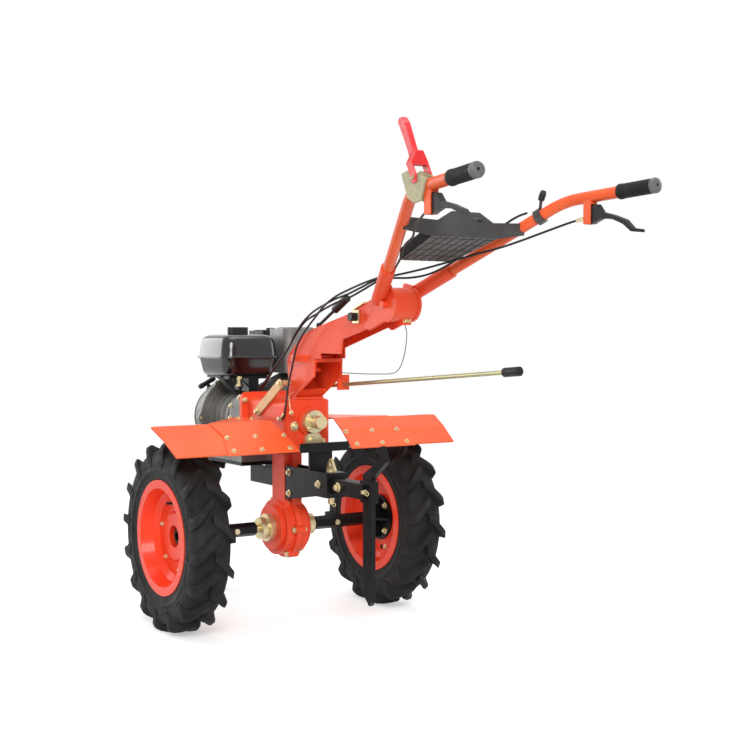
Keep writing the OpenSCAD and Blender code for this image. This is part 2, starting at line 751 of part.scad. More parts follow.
module hitch_clevis() color(black) difference() {
  union() {
    both_sides() {
      yz_plate([[-leg_rear, hitch_foot_z], [-leg_rear, hitch_top], [box_front - over, hitch_top],
        [box_front - over, hitch_low]], hitch_in, hitch_in + hitch_side_t);
      yz_plate([[-leg_rear, hitch_foot_z], [-leg_rear, hitch_top], [-leg_rear - hitch_foot_t, hitch_top],
        [-leg_rear - hitch_foot_t, hitch_foot_z]], hitch_foot_in, hitch_in + over);
    }
    translate([-clevis_w / 2, -hitch_y - clevis_end, hitch_low])
      cube([clevis_w, clevis_end + clevis_from, hitch_h]);
  }
  translate([-draw_w / 2 - clevis_gap, -hitch_y - clevis_end - over, draw_z - draw_h / 2 - clevis_gap])
    cube([draw_w + 2 * clevis_gap, clevis_end + draw_from + clevis_gap + over, draw_h + 2 * clevis_gap]);
  translate([0, -hitch_y, hitch_low - over]) cylinder(d = hitch_pin_d + 2 * fit, h = hitch_h + 2 * over);
}

pin_below = 18;
pin_handle_w = 46;
pin_handle_h = 34;
pin_handle_t = 5;
pin_handle_top = 4;
pin_hole_d = 11;
pin_collar_h = 6;

module hitch_pin() color(zinc) translate([0, -hitch_y, 0]) {
  translate([0, 0, hitch_low - pin_below]) cylinder(d = hitch_pin_d, h = hitch_h + pin_below + over);
  translate([0, 0, hitch_top]) cylinder(d = hitch_pin_d + 8, h = pin_collar_h);
  translate([0, 0, hitch_top]) difference() {
    yz_plate([[-pin_handle_w / 2, pin_collar_h - over], [pin_handle_w / 2, pin_collar_h - over],
      [pin_handle_top, pin_handle_h], [-pin_handle_top, pin_handle_h]], -pin_handle_t / 2, pin_handle_t / 2);
    translate([0, 0, (pin_collar_h + pin_handle_h) / 2]) x_cylinder(pin_hole_d, pin_handle_t + 2 * over);
  }
}

sleeve_t = 5;
sleeve_gap = 0.05;
sleeve_past = 8;

module drawbar() color(black) difference() {
  union() {
    translate([-draw_w / 2, -stake_y, draw_z - draw_h / 2])
      cube([draw_w, stake_y - hitch_y + draw_from, draw_h]);
    translate([-stake_t / 2 - sleeve_t, -stake_y - stake_w / 2 - sleeve_t, draw_z - draw_h / 2 - sleeve_past])
      cube([stake_t + 2 * sleeve_t, stake_w + 2 * sleeve_t, draw_h + 2 * sleeve_past]);
  }
  translate([0, -hitch_y, draw_z]) cylinder(d = hitch_pin_d + 2 * fit, h = draw_h + 2 * over, center = true);
  translate([-stake_t / 2 - sleeve_gap, -stake_y - stake_w / 2 - sleeve_gap, 0])
    cube([stake_t + 2 * sleeve_gap, stake_w + 2 * sleeve_gap, 2 * draw_z]);
}

// Stake: a flat bar cut to a point below, its top bent back to a hooked handle
stake_bend = draw_z + draw_h / 2 + sleeve_past + 4;
hook = [[-62, 47], [-44, 83], [-26, 75], [-36, 51]];

module depth_stake() color(black) translate([0, -stake_y - stake_w / 2, 0]) {
  tip = ground + stake_tip;
  yz_plate(concat([[stake_w, tip + 26], [10, tip], [0, tip + 10], [0, stake_bend]],
    [for (p = hook) [p.x, stake_bend + p.y]], [[stake_w, stake_bend + 10]]), -stake_t / 2, stake_t / 2);
}

// Handle seat: a bent channel open to the rear, with a foot on the gear case and the swivel face
seat_foot_t = 6;
seat_foot = 36;
seat_top = swivel_z - swivel_t - skin;
seat_toe = [-101, case_top];
seat_nose = [-88, seat_top];
seat_rear = 224;
rod_tab_y = 204;
seat_heel = [[-222, swivel_z - 44], [-155, case_top + 23], [-115, case_top]];
rod_tab_w = 32;
rod_tab_h = 38;
rod_tab_low = 602;

module handle_seat() color(orange) difference() {
  union() {
    both_sides() yz_plate(concat([seat_toe, seat_nose, [-seat_rear, seat_top]], seat_heel),
      seat_w / 2 - seat_t, seat_w / 2);
    yz_plate(sheet([seat_nose, seat_toe], -seat_t), -seat_w / 2, seat_w / 2);
    yz_plate(sheet([seat_heel[1], seat_heel[2]], seat_t), -seat_w / 2, seat_w / 2);
    translate([-seat_w / 2, seat_toe.x - seat_foot + seat_t, case_top])
      cube([seat_w, seat_foot, seat_foot_t]);
    translate([-seat_w / 2, -seat_rear, seat_top - over])
      cube([seat_w, seat_rear + seat_nose.x, swivel_t + over]);
    translate([0, -swivel_y, seat_top]) cylinder(d = swivel_d, h = swivel_t);
    translate([seat_w / 2 - over, -rod_tab_y, rod_tab_low]) cube([rod_tab_w + over, seat_t, rod_tab_h]);
  }
  translate([0, -swivel_y, seat_top - 2 * over]) cylinder(d = king_d + 2 * fit, h = 2 * swivel_t);
  rod(gear_rod_from, gear_rod_end, gear_rod_d + 2 * fit);
}

// Flat stay from the side of the gear case up to the seat, with the bolt that spaces it off the seat
stay_t = 6;
stay_foot = [20, case_top - 37];
stay_head = [-104, case_top + 41];
stay_w = 26;
stay_bolt_d = 14;

module seat_stay() color(zinc) {
  side = stay_w / 2 * left_normal(stay_foot, stay_head);
  yz_plate([stay_foot - side, stay_foot + side, stay_head + side, stay_head - side],
    -case_w / 2 - stay_t, -case_w / 2);
  translate([-case_w / 2 - over, stay_head.x, stay_head.y]) rotate([0, 90, 0])
    cylinder(d = stay_bolt_d, h = case_w / 2 - seat_w / 2 + over);
}

rod_x = 57;
rod_y = 62;
gear_rod_z = 604.5;
gear_knob_l = 48;
gear_knob_d = 20;
gear_rod_from = [rod_x, -rod_y, gear_rod_z];
gear_rod_end = [rod_x, -842, 663.8];

module gear_rod() color(zinc) {
  rod(gear_rod_from, gear_rod_end, gear_rod_d);
  translate([rod_x, -rod_y, case_top]) cylinder(d = gear_rod_d, h = gear_rod_z - case_top);
  translate(gear_rod_from) sphere(d = gear_rod_d + 8);
}

module gear_knob() color(black) {
  v = gear_rod_end - gear_rod_from;
  rod(gear_rod_end, gear_rod_end + gear_knob_l * v / norm(v), gear_knob_d);
}

// Column: a tapered channel, open below, with its swivel plate and pin and the core of the tilt hinge
cheek_reach = 92;
column_from = 100;
column_to = tilt_y - cheek_reach - 11;
column_step = 245;
skirt_end = 340;
skirt_h = 13;
arm_low = swivel_z + 26;
column_nose = swivel_z + swivel_t;
arm_knee = [-365, swivel_z + 108];
arm_end = [-tilt_y + 40, tilt_z + tilt_d / 2 - 16];
function column_top(e) = [[-column_from - e, column_nose], [-131 - e, swivel_z + 33 - e],
  [-166, swivel_z + 56 - e], [-211, swivel_z + 73 - e], arm_knee - [0, e], arm_end - [0, e]];
hinge_low = [-tilt_y + 12, tilt_z - tilt_d / 2 + 4];
function arm_z(y) = arm_low + (hinge_low.y - arm_low) * (y - column_step) / (-hinge_low.x - column_step);
right_edge = [hinge_low, [-column_step, arm_low], [-column_step, swivel_z], [-column_from, swivel_z]];
left_edge = [hinge_low, [-skirt_end, arm_z(skirt_end)], [-skirt_end + 6, swivel_z + skirt_h],
  [-column_step, swivel_z + skirt_h], [-column_step, swivel_z], [-column_from, swivel_z]];

// Plan of the arm, drawn in by e on each side
module column_plan(e) linear_extrude(2 * tilt_z) polygon([[column_w / 2 - e, -column_from],
  [column_end_w / 2 - e, -column_to], [column_end_w / 2 - e, -tilt_y], [-column_end_w / 2 + e, -tilt_y],
  [-column_end_w / 2 + e, -column_to], [-column_w / 2 + e, -column_from]]);

king_l = 34;
king_nut_d = 40;
king_nut_h = 10;
clamp_lug = [24, 28, 26];

module column() color(orange) difference() {
  union() {
    difference() {
      intersection() {
        union() {
          yz_plate(concat(column_top(0), left_edge), -column_w, 0);
          yz_plate(concat(column_top(0), right_edge), -over, column_w);
        }
        column_plan(0);
      }
      intersection() {
        yz_plate(concat(column_top(column_t), [[-tilt_y, swivel_z - over],
          [-column_from - column_t, swivel_z - over]]), -column_w, column_w);
        column_plan(column_t);
      }
    }
    translate([0, -swivel_y, swivel_z]) cylinder(d = swivel_d, h = swivel_t);
    translate([0, -swivel_y, swivel_z - king_l]) cylinder(d = king_d, h = king_l + over);
    translate([0, -swivel_y, swivel_z - king_l]) cylinder(d = king_nut_d, h = king_nut_h);
    translate([0, -tilt_y, tilt_z]) x_cylinder(tilt_d - 4, column_end_w);
    translate([0, -tilt_y - clamp_lug.y / 2, tilt_z - tilt_d / 2 - clamp_lug.z / 4]) cube(clamp_lug);
  }
  translate([0, -tilt_y, tilt_z]) x_cylinder(tilt_bolt_d + 2 * fit, column_end_w + 2 * over);
  translate([0, -lock_y, swivel_z + swivel_t]) cylinder(d = lock_d + 2 * fit, h = lock_h);
}

// Swivel lock: a pin through the arm's top, its lever laid back over the arm and a grip
lock_d = 10;
lock_y = 178;
lock_h = 82;
lock_grip_d = 20;
lock_knee = [0, -lock_y, swivel_z + lock_h];
lock_grip_at = [0, -256, swivel_z + 120];
lock_grip_end = [0, -311, swivel_z + 147];

module swivel_lock() color(black) {
  translate([0, -lock_y, swivel_z + swivel_t]) cylinder(d = lock_d, h = lock_h - swivel_t);
  translate(lock_knee) sphere(d = lock_d + 4);
  rod(lock_knee, lock_grip_end, lock_d - 2);
  rod(lock_grip_at, lock_grip_end, lock_grip_d);
}

// Tilt latch: a bent plate on the arm's left edge, with its knob
latch_y = 388;
latch_l = 46;
latch_w = 26;
latch_t = 4;
latch_h = 30;
latch_knob_d = 20;
latch_knob_l = 16;

function arm_top(y) = arm_knee.y + (arm_end.y - arm_knee.y) * (y + arm_knee.x) / (arm_knee.x - arm_end.x);

module tilt_latch() color(zinc) {
  half = column_half(latch_y);
  lie = [[-latch_y, arm_top(latch_y)], [-latch_y - latch_l, arm_top(latch_y + latch_l)]];
  yz_plate(sheet(lie, -latch_t), -half - latch_t, -half + latch_w);
  translate([-half - latch_t, -latch_y - latch_w, arm_top(latch_y) - latch_h])
    cube([latch_t, latch_w, latch_h + over]);
}

module latch_knob() color(black) {
  x = -column_half(latch_y) - latch_t - latch_knob_l;
  translate([x, -latch_y - latch_w / 2, arm_top(latch_y) - latch_h / 2])
    rotate([0, 90, 0]) cylinder(d = latch_knob_d, h = latch_knob_l);
}

function column_half(y) =
  column_w / 2 - (column_w - column_end_w) / 2 * (y - column_from) / (column_to - column_from);

// Handlebar: cheeks on the tilt bolt, sockets cut to the cheeks, bent tubes and grips
cheek_x = column_end_w / 2 + skin;
bar_from = [cheek_x + cheek_t + bar_d / 2 - 2, -tilt_y + 6, tilt_z + 25];
bar_end = [grip_span / 2, -grip_y, grip_z];
grip_run = [26, 237, 13];
bar_corner = [grip_span / 2 - grip_run.x, -grip_y + grip_run.y, grip_z - grip_run.z];
bar_dir = (bar_corner - bar_from) / norm(bar_corner - bar_from);
grip_dir = (bar_end - bar_corner) / norm(bar_end - bar_corner);
grip_cap = 6;
rear_reach = grip_y - grip_cap * grip_dir.y + grip_d / 2 * sqrt(1 - grip_dir.y * grip_dir.y);
origin_y = (rear_reach - stand_front) / 2;

// Outline of the cheek plate ahead of the hinge, from the socket down along the arm
cheek_plate = [[-14, 42], [21, 49], [42, 1], [cheek_reach - 2, -50], [72, -58], [10, -38]];

module handlebar_hub() color(orange) {
  both_sides() {
    difference() {
      union() {
        translate([cheek_x + cheek_t / 2, -tilt_y, tilt_z]) x_cylinder(tilt_d, cheek_t);
        yz_plate([for (p = cheek_plate) [p.x - tilt_y, p.y + tilt_z]], cheek_x, cheek_x + cheek_t);
        difference() {
          rod(bar_from - 30 * bar_dir, bar_from + socket_l * bar_dir, socket_d);
          translate([cheek_x + over - 200, -tilt_y - 100, tilt_z - 100]) cube(200);
        }
      }
      rod(bar_from, bar_from + (socket_l + over) * bar_dir, bar_d + 2 * fit);
    }
  }
  translate([0, -tilt_y, tilt_z]) x_cylinder(tilt_bolt_d, 2 * (cheek_x + cheek_t) + 24);
}

module handlebar(side) color(orange) on_side(side) difference() {
  bent_tube(bar_from, bar_corner, bar_end, bar_bend, bar_d);
  bent_tube(bar_from - over * bar_dir, bar_corner, bar_end + over * grip_dir, bar_bend, bar_d - 2 * bar_wall);
}

module grips() color(black) both_sides() difference() {
  rod(bar_end - (grip_l - grip_cap) * grip_dir, bar_end + grip_cap * grip_dir, grip_d);
  rod(bar_end - grip_l * grip_dir, bar_end, bar_d + 2 * fit);
}

// Hand levers: an orange tab below each bar, with a pin that the black lever turns on
tab_at = 62;
tab_w = 20;
tab_l = 20;
tab_h = 56;
tab_t = 3;
tab_slot_top = 15;
lever_pin = [-13, -36];
lever_pin_d = 7;
lever_w = 13;
lever_outline = [[-5, -18], [-36, -17], [-50, -34], [-82, -42], [-116, -54], [-136, -72], [-160, -76],
  [-160, -82], [-134, -79], [-112, -63], [-82, -51], [-48, -47], [-20, -56], [-5, -50]];

module at_lever() translate(bar_corner + tab_at * grip_dir) children();

module lever_tabs() color(orange) both_sides() {
  difference() {
    at_lever() difference() {
      translate([-tab_w / 2, -tab_l, -tab_h]) cube([tab_w, tab_l, tab_h]);
      translate([-tab_w / 2 + tab_t, -tab_l - over, -tab_h - over])
        cube([tab_w - 2 * tab_t, tab_l - tab_t + over, tab_h - tab_slot_top + over]);
    }
    rod(bar_corner, bar_end, bar_d + 2 * fit);
  }
  at_lever() translate([0, lever_pin.x, lever_pin.y]) x_cylinder(lever_pin_d, tab_w);
}

module hand_levers() color(black) both_sides() at_lever() difference() {
  yz_plate(lever_outline, -lever_w / 2, lever_w / 2);
  translate([0, lever_pin.x, lever_pin.y]) x_cylinder(lever_pin_d + 2 * fit, lever_w + 2 * over);
}

// Red lever: a grip on a fork that turns on a pin through two plates clamped to the left bar
fork_pin = [-36, 20];
fork_pin_d = 8;
fork_plate_t = 4;
fork_plate_in = bar_d / 2 - 1;
fork_plate = [[18, 33], [-11, 37], [-53, 24], [-80, 14], [-59, -26], [-32, -29], [-7, -16]];
fork_in = fork_plate_in + fork_plate_t + skin;
fork_t = 3;
fork_leg = [[-8, 50], [-30, 50], [-46, 25], [-44, 10], [-31, 10], [-25, 22]];
fork_neck = 7;
fork_shoulder = [46, 51, 74];
fork_web = [-30, -8];
fork_grip = [[-4, 50], [10, 78], [30, 110], [50, 138], [46, 146], [34, 147], [21, 134], [-10, 78], [-30, 50]];
fork_grip_t = 12;

module at_fork() on_side(-1) translate(bar_corner) rotate(atan2(grip_dir.x, -grip_dir.y)) children();

module gear_lever() color(red) at_fork() difference() {
  union() {
    yz_plate(fork_grip, -fork_grip_t / 2, fork_grip_t / 2);
    translate([0, fork_web[1], 0]) rotate([90, 0, 0]) linear_extrude(fork_web[1] - fork_web[0])
      both_sides() polygon([[-over, fork_shoulder[0]], [fork_in + fork_t, fork_shoulder[0]],
        [fork_in + fork_t, fork_shoulder[1]], [fork_neck, fork_shoulder[2]], [-over, fork_shoulder[2]]]);
    both_sides() yz_plate(fork_leg, fork_in, fork_in + fork_t);
  }
  translate([0, fork_pin.x, fork_pin.y]) x_cylinder(fork_pin_d + 2 * fit, 4 * fork_in);
}

module lever_bracket() color(zinc) difference() {
  at_fork() {
    both_sides() yz_plate(fork_plate, fork_plate_in, fork_plate_in + fork_plate_t);
    translate([0, fork_pin.x, fork_pin.y]) x_cylinder(fork_pin_d, 2 * (fork_in + 2 * fork_t));
  }
  on_side(-1) bent_tube(bar_from, bar_corner, bar_end, bar_bend, bar_d + 2 * fit + bend_neck);
}

// Tool tray: a tapered floor with a grid of grooves below, walls, and a rear wall with wings on the bars
function bar_at(y) = bar_from + (y - bar_from.y) / (bar_corner.y - bar_from.y) * (bar_corner - bar_from);
tray_front = [-640, 903];
tray_rear = [-780, 946];
tray_slope = atan2(tray_rear.y - tray_front.y, tray_front.x - tray_rear.x);
tray_l = norm(tray_rear - tray_front);
tray_half = [bar_at(tray_front.x).x - bar_d / 2 - tray_front_gap,
  bar_at(tray_rear.x).x - bar_d / 2 - tray_rear_gap];
tray_wall = 24;
tray_lip = 14;
tray_back = [[0, 53], [36, 53], [72, 33]];
tray_wing = [10, 36];
grid_pitch = 21;
grid_row = 34;
groove_w = 3;
groove_depth = 1.2;

module tray_floor(in, h) linear_extrude(h) polygon([[-tray_half[0] + in, 0], [tray_half[0] - in, 0],
  [tray_half[1] - in, -tray_l], [-tray_half[1] + in, -tray_l]]);

module tool_tray() color(black) difference() {
  bar_x = bar_at(tray_rear.x).x;
  union() {
    translate([0, tray_front.x, tray_front.y]) rotate([-tray_slope, 0, 0]) difference() {
      tray_floor(0, tray_wall);
      translate([0, -tray_t, tray_t]) tray_floor(tray_t, tray_wall);
      translate([-tray_half[1], -tray_t - over, tray_lip])
        cube([2 * tray_half[1], tray_t + 2 * over, tray_wall]);
      for (x = [-3 : 3])
        translate([x * grid_pitch - groove_w / 2, -tray_l - over, -over])
          cube([groove_w, tray_l + 2 * over, over + groove_depth]);
      for (y = [1 : 4])
        translate([-tray_half[1], -y * grid_row - groove_w / 2, -over])
          cube([2 * tray_half[1], groove_w, over + groove_depth]);
    }
    both_sides() translate([0, tray_rear.x + over, tray_rear.y]) rotate([90, 0, 0])
      linear_extrude(tray_t + over) polygon(concat([[-over, 0], [-over, tray_back[0].y], tray_back[1], tray_back[2]],
        [[bar_x, tray_wing[1]], [bar_x, tray_wing[0]], [tray_half[1], 0]]));
  }
  both_sides() rod(bar_from, bar_corner, bar_d + 2 * fit);
}

// Throttle: a clamp round the right bar with a small lever and its knob
throttle_at = 346;
throttle_clamp_d = 34;
throttle_clamp_l = 16;
throttle_stalk = [[0, 0, 12], [-6, -20, 38]];
throttle_knob_d = 13;
throttle_knob_l = 20;

module throttle() color(zinc) {
  at = bar_from + throttle_at * bar_dir;
  v = throttle_stalk[1] - throttle_stalk[0];
  knob = at + throttle_stalk[1];
  difference() {
    union() {
      rod(at, at + throttle_clamp_l * bar_dir, throttle_clamp_d);
      rod(at + throttle_clamp_l / 2 * bar_dir + throttle_stalk[0], knob, throttle_knob_d / 2);
      rod(knob, knob + throttle_knob_l * v / norm(v), throttle_knob_d);
    }
    rod(bar_from, bar_corner, bar_d + 2 * fit);
  }
}

// Control cables to the left lever, the right lever and the throttle. Each is cut into three runs:
// up from the chassis, along the column, and on the handlebar.
cable_routes = [
  [[-69, -104, 528], [-70, -126, 540], [-68, -141, 610], [-66, -158, 660], [-66, -183, 713],
    [-66, -223, 750], [-66, -266, 779], [-66, -313, 809], [-66, -364, 830], [-60, -417, 846],
    [-52, -470, 860], [-46, -520, 870], [-42, -563, 876], [-65, -619, 892], [-92, -673, 904],
    [-110, -715, 928], [-134, -780, 942], [-162, -830, 960], [-200, -926, 984]],
  [[-30, 93, 591], [-36, 60, 604], [-46, 10, 626], [-54, -50, 660], [-59, -105, 690],
    [-60, -137, 714], [-60, -163, 742], [-60, -203, 772], [-60, -251, 796], [-60, -303, 812],
    [-60, -354, 825], [-56, -406, 836], [-48, -450, 850], [-40, -500, 866], [-34, -545, 872],
    [-10, -585, 880], [20, -635, 892], [70, -719, 915], [116, -785, 935], [190, -883, 976],
    [200, -926, 984]],
  [[-22, 93, 591], [-28, 60, 606], [-38, 10, 632], [-46, -50, 668], [-52, -110, 702],
    [-53, -137, 726], [-53, -163, 748], [-53, -203, 774], [-54, -251, 789], [-54, -303, 805],
    [-53, -354, 818], [-50, -406, 829], [-42, -450, 845], [-32, -500, 864], [-20, -535, 869],
    [16, -560, 870], [48, -595, 880], [80, -642, 908], [103, -700, 945], [133, -771, 990],
    [150, -801, 1003]]];
// Points at which each cable passes to the column and on to the handlebar
cable_cuts = [[0, 6, 12, 18], [0, 8, 14, 20], [0, 8, 14, 20]];

module cables(run) color(black) for (k = [0 : len(cable_routes) - 1])
  swept([for (i = [cable_cuts[k][run] : cable_cuts[k][run + 1]])
    cord_ring(cable_routes[k][i], heading(cable_routes[k], i), cable_d)]);

// Thin wire from the clamp below the tilt hinge down to the seat
wire_d = 2;
wire_route = [[12, -540, 763], [10, -550, 742], [9, -544, 703], [14, -518, 668], [30, -466, 652],
  [34, -403, 648], [38, -312, 646], [38.5, -222.6, 646]];

module return_wire() color(grey) cord(wire_route, wire_d);

module placed() translate([0, origin_y, lift]) children();

placed() tyre(-1);  // tyre_left
placed() tyre(1);  // tyre_right
placed() rim(-1);  // rim_left
placed() rim(1);  // rim_right
placed() hub(-1);  // hub_left
placed() hub(1);  // hub_right
placed() axle_shaft();
placed() axle_pins();
placed() final_drive();
placed() bearing_caps();
placed() gear_case();
placed() shaft_covers();
placed() engine_bed();
placed() crankcase();
placed() cylinder_block();  // cylinder
placed() fan_housing();
placed() recoil_starter();
placed() fuel_tank();
placed() fuel_cap();
placed() tank_bracket();
placed() air_cleaner();
placed() muffler();
placed() fender(-1);  // fender_left
placed() fender(1);  // fender_right
placed() fender_wing(-1);  // fender_wing_left
placed() fender_wing(1);  // fender_wing_right
placed() fender_bracket();
placed() hitch_clevis();
placed() hitch_pin();
placed() drawbar();
placed() depth_stake();
placed() handle_seat();
placed() seat_stay();
placed() gear_rod();
placed() gear_knob();
placed() column();
placed() swivel_lock();
placed() tilt_latch();
placed() latch_knob();
placed() handlebar_hub();
placed() handlebar(-1);  // handlebar_left
placed() handlebar(1);  // handlebar_right
placed() grips();
placed() lever_tabs();
placed() hand_levers();
placed() gear_lever();
placed() lever_bracket();
placed() tool_tray();
placed() throttle();
placed() cables(0);  // cables_root
placed() cables(1);  // cables_column
placed() cables(2);  // cables_bar
placed() return_wire();
placed() stand();
placed() stand_bolt();
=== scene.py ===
"""Looks of a walk-behind rotary tiller: finishes, moulded tyres, grips, cables, fasteners and the studio.

Places are millimetres from the axle, as in the part's source: X to the operator's right, Y ahead, Z up.
"""
import json
import math

import bmesh
import bpy
from mathutils import Matrix, Vector


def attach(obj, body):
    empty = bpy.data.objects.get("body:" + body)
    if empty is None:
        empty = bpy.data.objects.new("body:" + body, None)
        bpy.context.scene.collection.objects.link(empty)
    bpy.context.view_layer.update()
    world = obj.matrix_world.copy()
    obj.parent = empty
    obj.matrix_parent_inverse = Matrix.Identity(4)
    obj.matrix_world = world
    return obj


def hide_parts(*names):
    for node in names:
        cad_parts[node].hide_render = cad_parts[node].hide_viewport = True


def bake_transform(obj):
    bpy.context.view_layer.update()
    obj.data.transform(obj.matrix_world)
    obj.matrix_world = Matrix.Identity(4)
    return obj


MM = 0.001
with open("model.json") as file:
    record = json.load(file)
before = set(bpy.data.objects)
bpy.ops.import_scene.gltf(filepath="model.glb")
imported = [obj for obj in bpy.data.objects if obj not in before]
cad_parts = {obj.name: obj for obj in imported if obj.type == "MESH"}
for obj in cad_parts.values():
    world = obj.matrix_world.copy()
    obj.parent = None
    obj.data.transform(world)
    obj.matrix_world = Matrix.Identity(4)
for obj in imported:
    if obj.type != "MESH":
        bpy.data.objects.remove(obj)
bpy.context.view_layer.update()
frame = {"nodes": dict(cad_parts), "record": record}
record = frame["record"]
mounts = {m["name"]: m for m in record["mounts"]}
joint_at = {j["name"]: Vector(j["pos_m"]) for j in record["behaviour"]["joints"]}
AXLE = joint_at["wheels_spin"]
AXLE_H = AXLE.z / MM
GROUND_UNDER_AXLE = Vector((0, AXLE.y, 0))
UP, BACK, LEFT, RIGHT, AHEAD = (0, 0, 1), (0, -1, 0), (-1, 0, 0), (1, 0, 0), (0, 1, 0)
SIDES = ((-1, LEFT), (1, RIGHT))


def at(x, y, z):
    """A place in the machine's millimetres as a point of the frame in metres."""
    return Vector((x, y, z)) * MM + GROUND_UNDER_AXLE


# Shader building blocks

PATCH_RANGE, SMUDGE_RANGE, CHIP_RANGE = (0.36, 0.68), (0.3, 0.7), (0.52, 0.62)
PATCH_DETAIL, SMUDGE_DETAIL, GRAIN_DETAIL, CHIP_DETAIL = 6.0, 3.0, 2.0, 5.0
SMUDGES_PER_PATCH, CHIP_SCALE = 4.7, 140.0
# Cosines between the true and the rounded normal where wear begins and is full
EDGE_RANGE = (0.95, 0.78)
# Squares of the normal's X where the painted shade on faces that look along X begins and is full, and the
# shine left in that painted shade
END_SHADE_RANGE, END_SHADE_SHINE = (0.08, 0.3), 0.02
RELIEF_DEPTH = 0.4 * MM
BEVEL_SAMPLES = 6
COAT_ROUGHNESS = 0.08


def node(tree, kind, settings=None, **inputs):
    """Add a shader node; each input is a value or the socket that feeds it."""
    made = tree.nodes.new("ShaderNode" + kind)
    for key, value in (settings or {}).items():
        setattr(made, key, value)
    for key, value in inputs.items():
        feed(tree, made.inputs[key.replace("_", " ")], value)
    return made


def feed(tree, socket, value):
    """Link a socket to another one, or give it a value."""
    if isinstance(value, bpy.types.NodeSocket):
        tree.links.new(value, socket)
    else:
        socket.default_value = value


def noise(tree, coords, scale, detail):
    return node(tree, "TexNoise", Vector=coords, Scale=scale, Detail=detail).outputs["Fac"]


def ramp(tree, value, low, high, to_low=0.0, to_high=1.0):
    made = node(tree, "MapRange", Value=value, From_Min=low, From_Max=high, To_Min=to_low, To_Max=to_high)
    return made.outputs["Result"]


def calculate(tree, operation, a, b):
    made = node(tree, "Math", {"operation": operation})
    feed(tree, made.inputs[0], a)
    feed(tree, made.inputs[1], b)
    return made.outputs["Value"]


def times(tree, a, b):
    return calculate(tree, "MULTIPLY", a, b)


def mix(tree, share, a, b):
    made = node(tree, "Mix", {"data_type": "RGBA"})
    for socket, value in ((made.inputs[0], share), (made.inputs[6], a), (made.inputs[7], b)):
        feed(tree, socket, value)
    return made.outputs[2]


def rgb(r, g, b):
    return (r, g, b, 1.0)


def surface(name, colour, tint, rough, metallic=0.0, coat=0.0, patch=9.0, grain=900.0, relief=0.06,
            spread=0.07, edge=None, edge_share=0.7, round_off=1.2, shine=0.5, end_shade=None):
    """A finish with patchy tone, uneven gloss, fine relief and softened edges.

    edge is a colour worn along the edges; a colour for the ends is painted shade, darker and with less shine,
    on the faces that look along the piece's X.
    """
    made = bpy.data.materials.new(name)
    made.use_nodes = True
    tree = made.node_tree
    shader = tree.nodes["Principled BSDF"]
    coords = node(tree, "TexCoord").outputs["Object"]
    patches = noise(tree, coords, patch, PATCH_DETAIL)
    smudges = noise(tree, coords, patch * SMUDGES_PER_PATCH, SMUDGE_DETAIL)
    fine = noise(tree, coords, grain, GRAIN_DETAIL)
    soft = node(tree, "Bevel", {"samples": BEVEL_SAMPLES}, Radius=round_off * MM).outputs["Normal"]
    tone = mix(tree, ramp(tree, patches, *PATCH_RANGE), colour, tint)
    if edge:
        turn = node(tree, "VectorMath", {"operation": "DOT_PRODUCT"})
        feed(tree, turn.inputs[0], soft)
        feed(tree, turn.inputs[1], node(tree, "NewGeometry").outputs["Normal"])
        on_edge = ramp(tree, turn.outputs["Value"], *EDGE_RANGE, 0.0, edge_share)
        chips = ramp(tree, noise(tree, coords, CHIP_SCALE, CHIP_DETAIL), *CHIP_RANGE)
        tone = mix(tree, times(tree, on_edge, chips), tone, edge)
    # Painted shade: faces that look along the piece's X get a darker colour and less shine
    if end_shade:
        facing = node(tree, "SeparateXYZ", Vector=node(tree, "TexCoord").outputs["Normal"]).outputs["X"]
        end_shade_share = ramp(tree, times(tree, facing, facing), *END_SHADE_RANGE)
        tone = mix(tree, end_shade_share, tone, end_shade)
        feed(tree, shader.inputs["Specular IOR Level"], ramp(tree, end_shade_share, 0.0, 1.0, shine, END_SHADE_SHINE))
    bump = node(tree, "Bump", Strength=relief, Distance=RELIEF_DEPTH, Height=fine, Normal=soft)
    feed(tree, shader.inputs["Base Color"], tone)
    feed(tree, shader.inputs["Roughness"], ramp(tree, smudges, *SMUDGE_RANGE, rough - spread, rough + spread))
    feed(tree, shader.inputs["Normal"], bump.outputs["Normal"])
    shader.inputs["Metallic"].default_value = metallic
    shader.inputs["Coat Weight"].default_value = coat
    shader.inputs["Coat Roughness"].default_value = COAT_ROUGHNESS
    shader.inputs["Specular IOR Level"].default_value = shine
    return made


# Finishes of the record's slots, and looks of their own for some pieces: colour, tint and roughness first

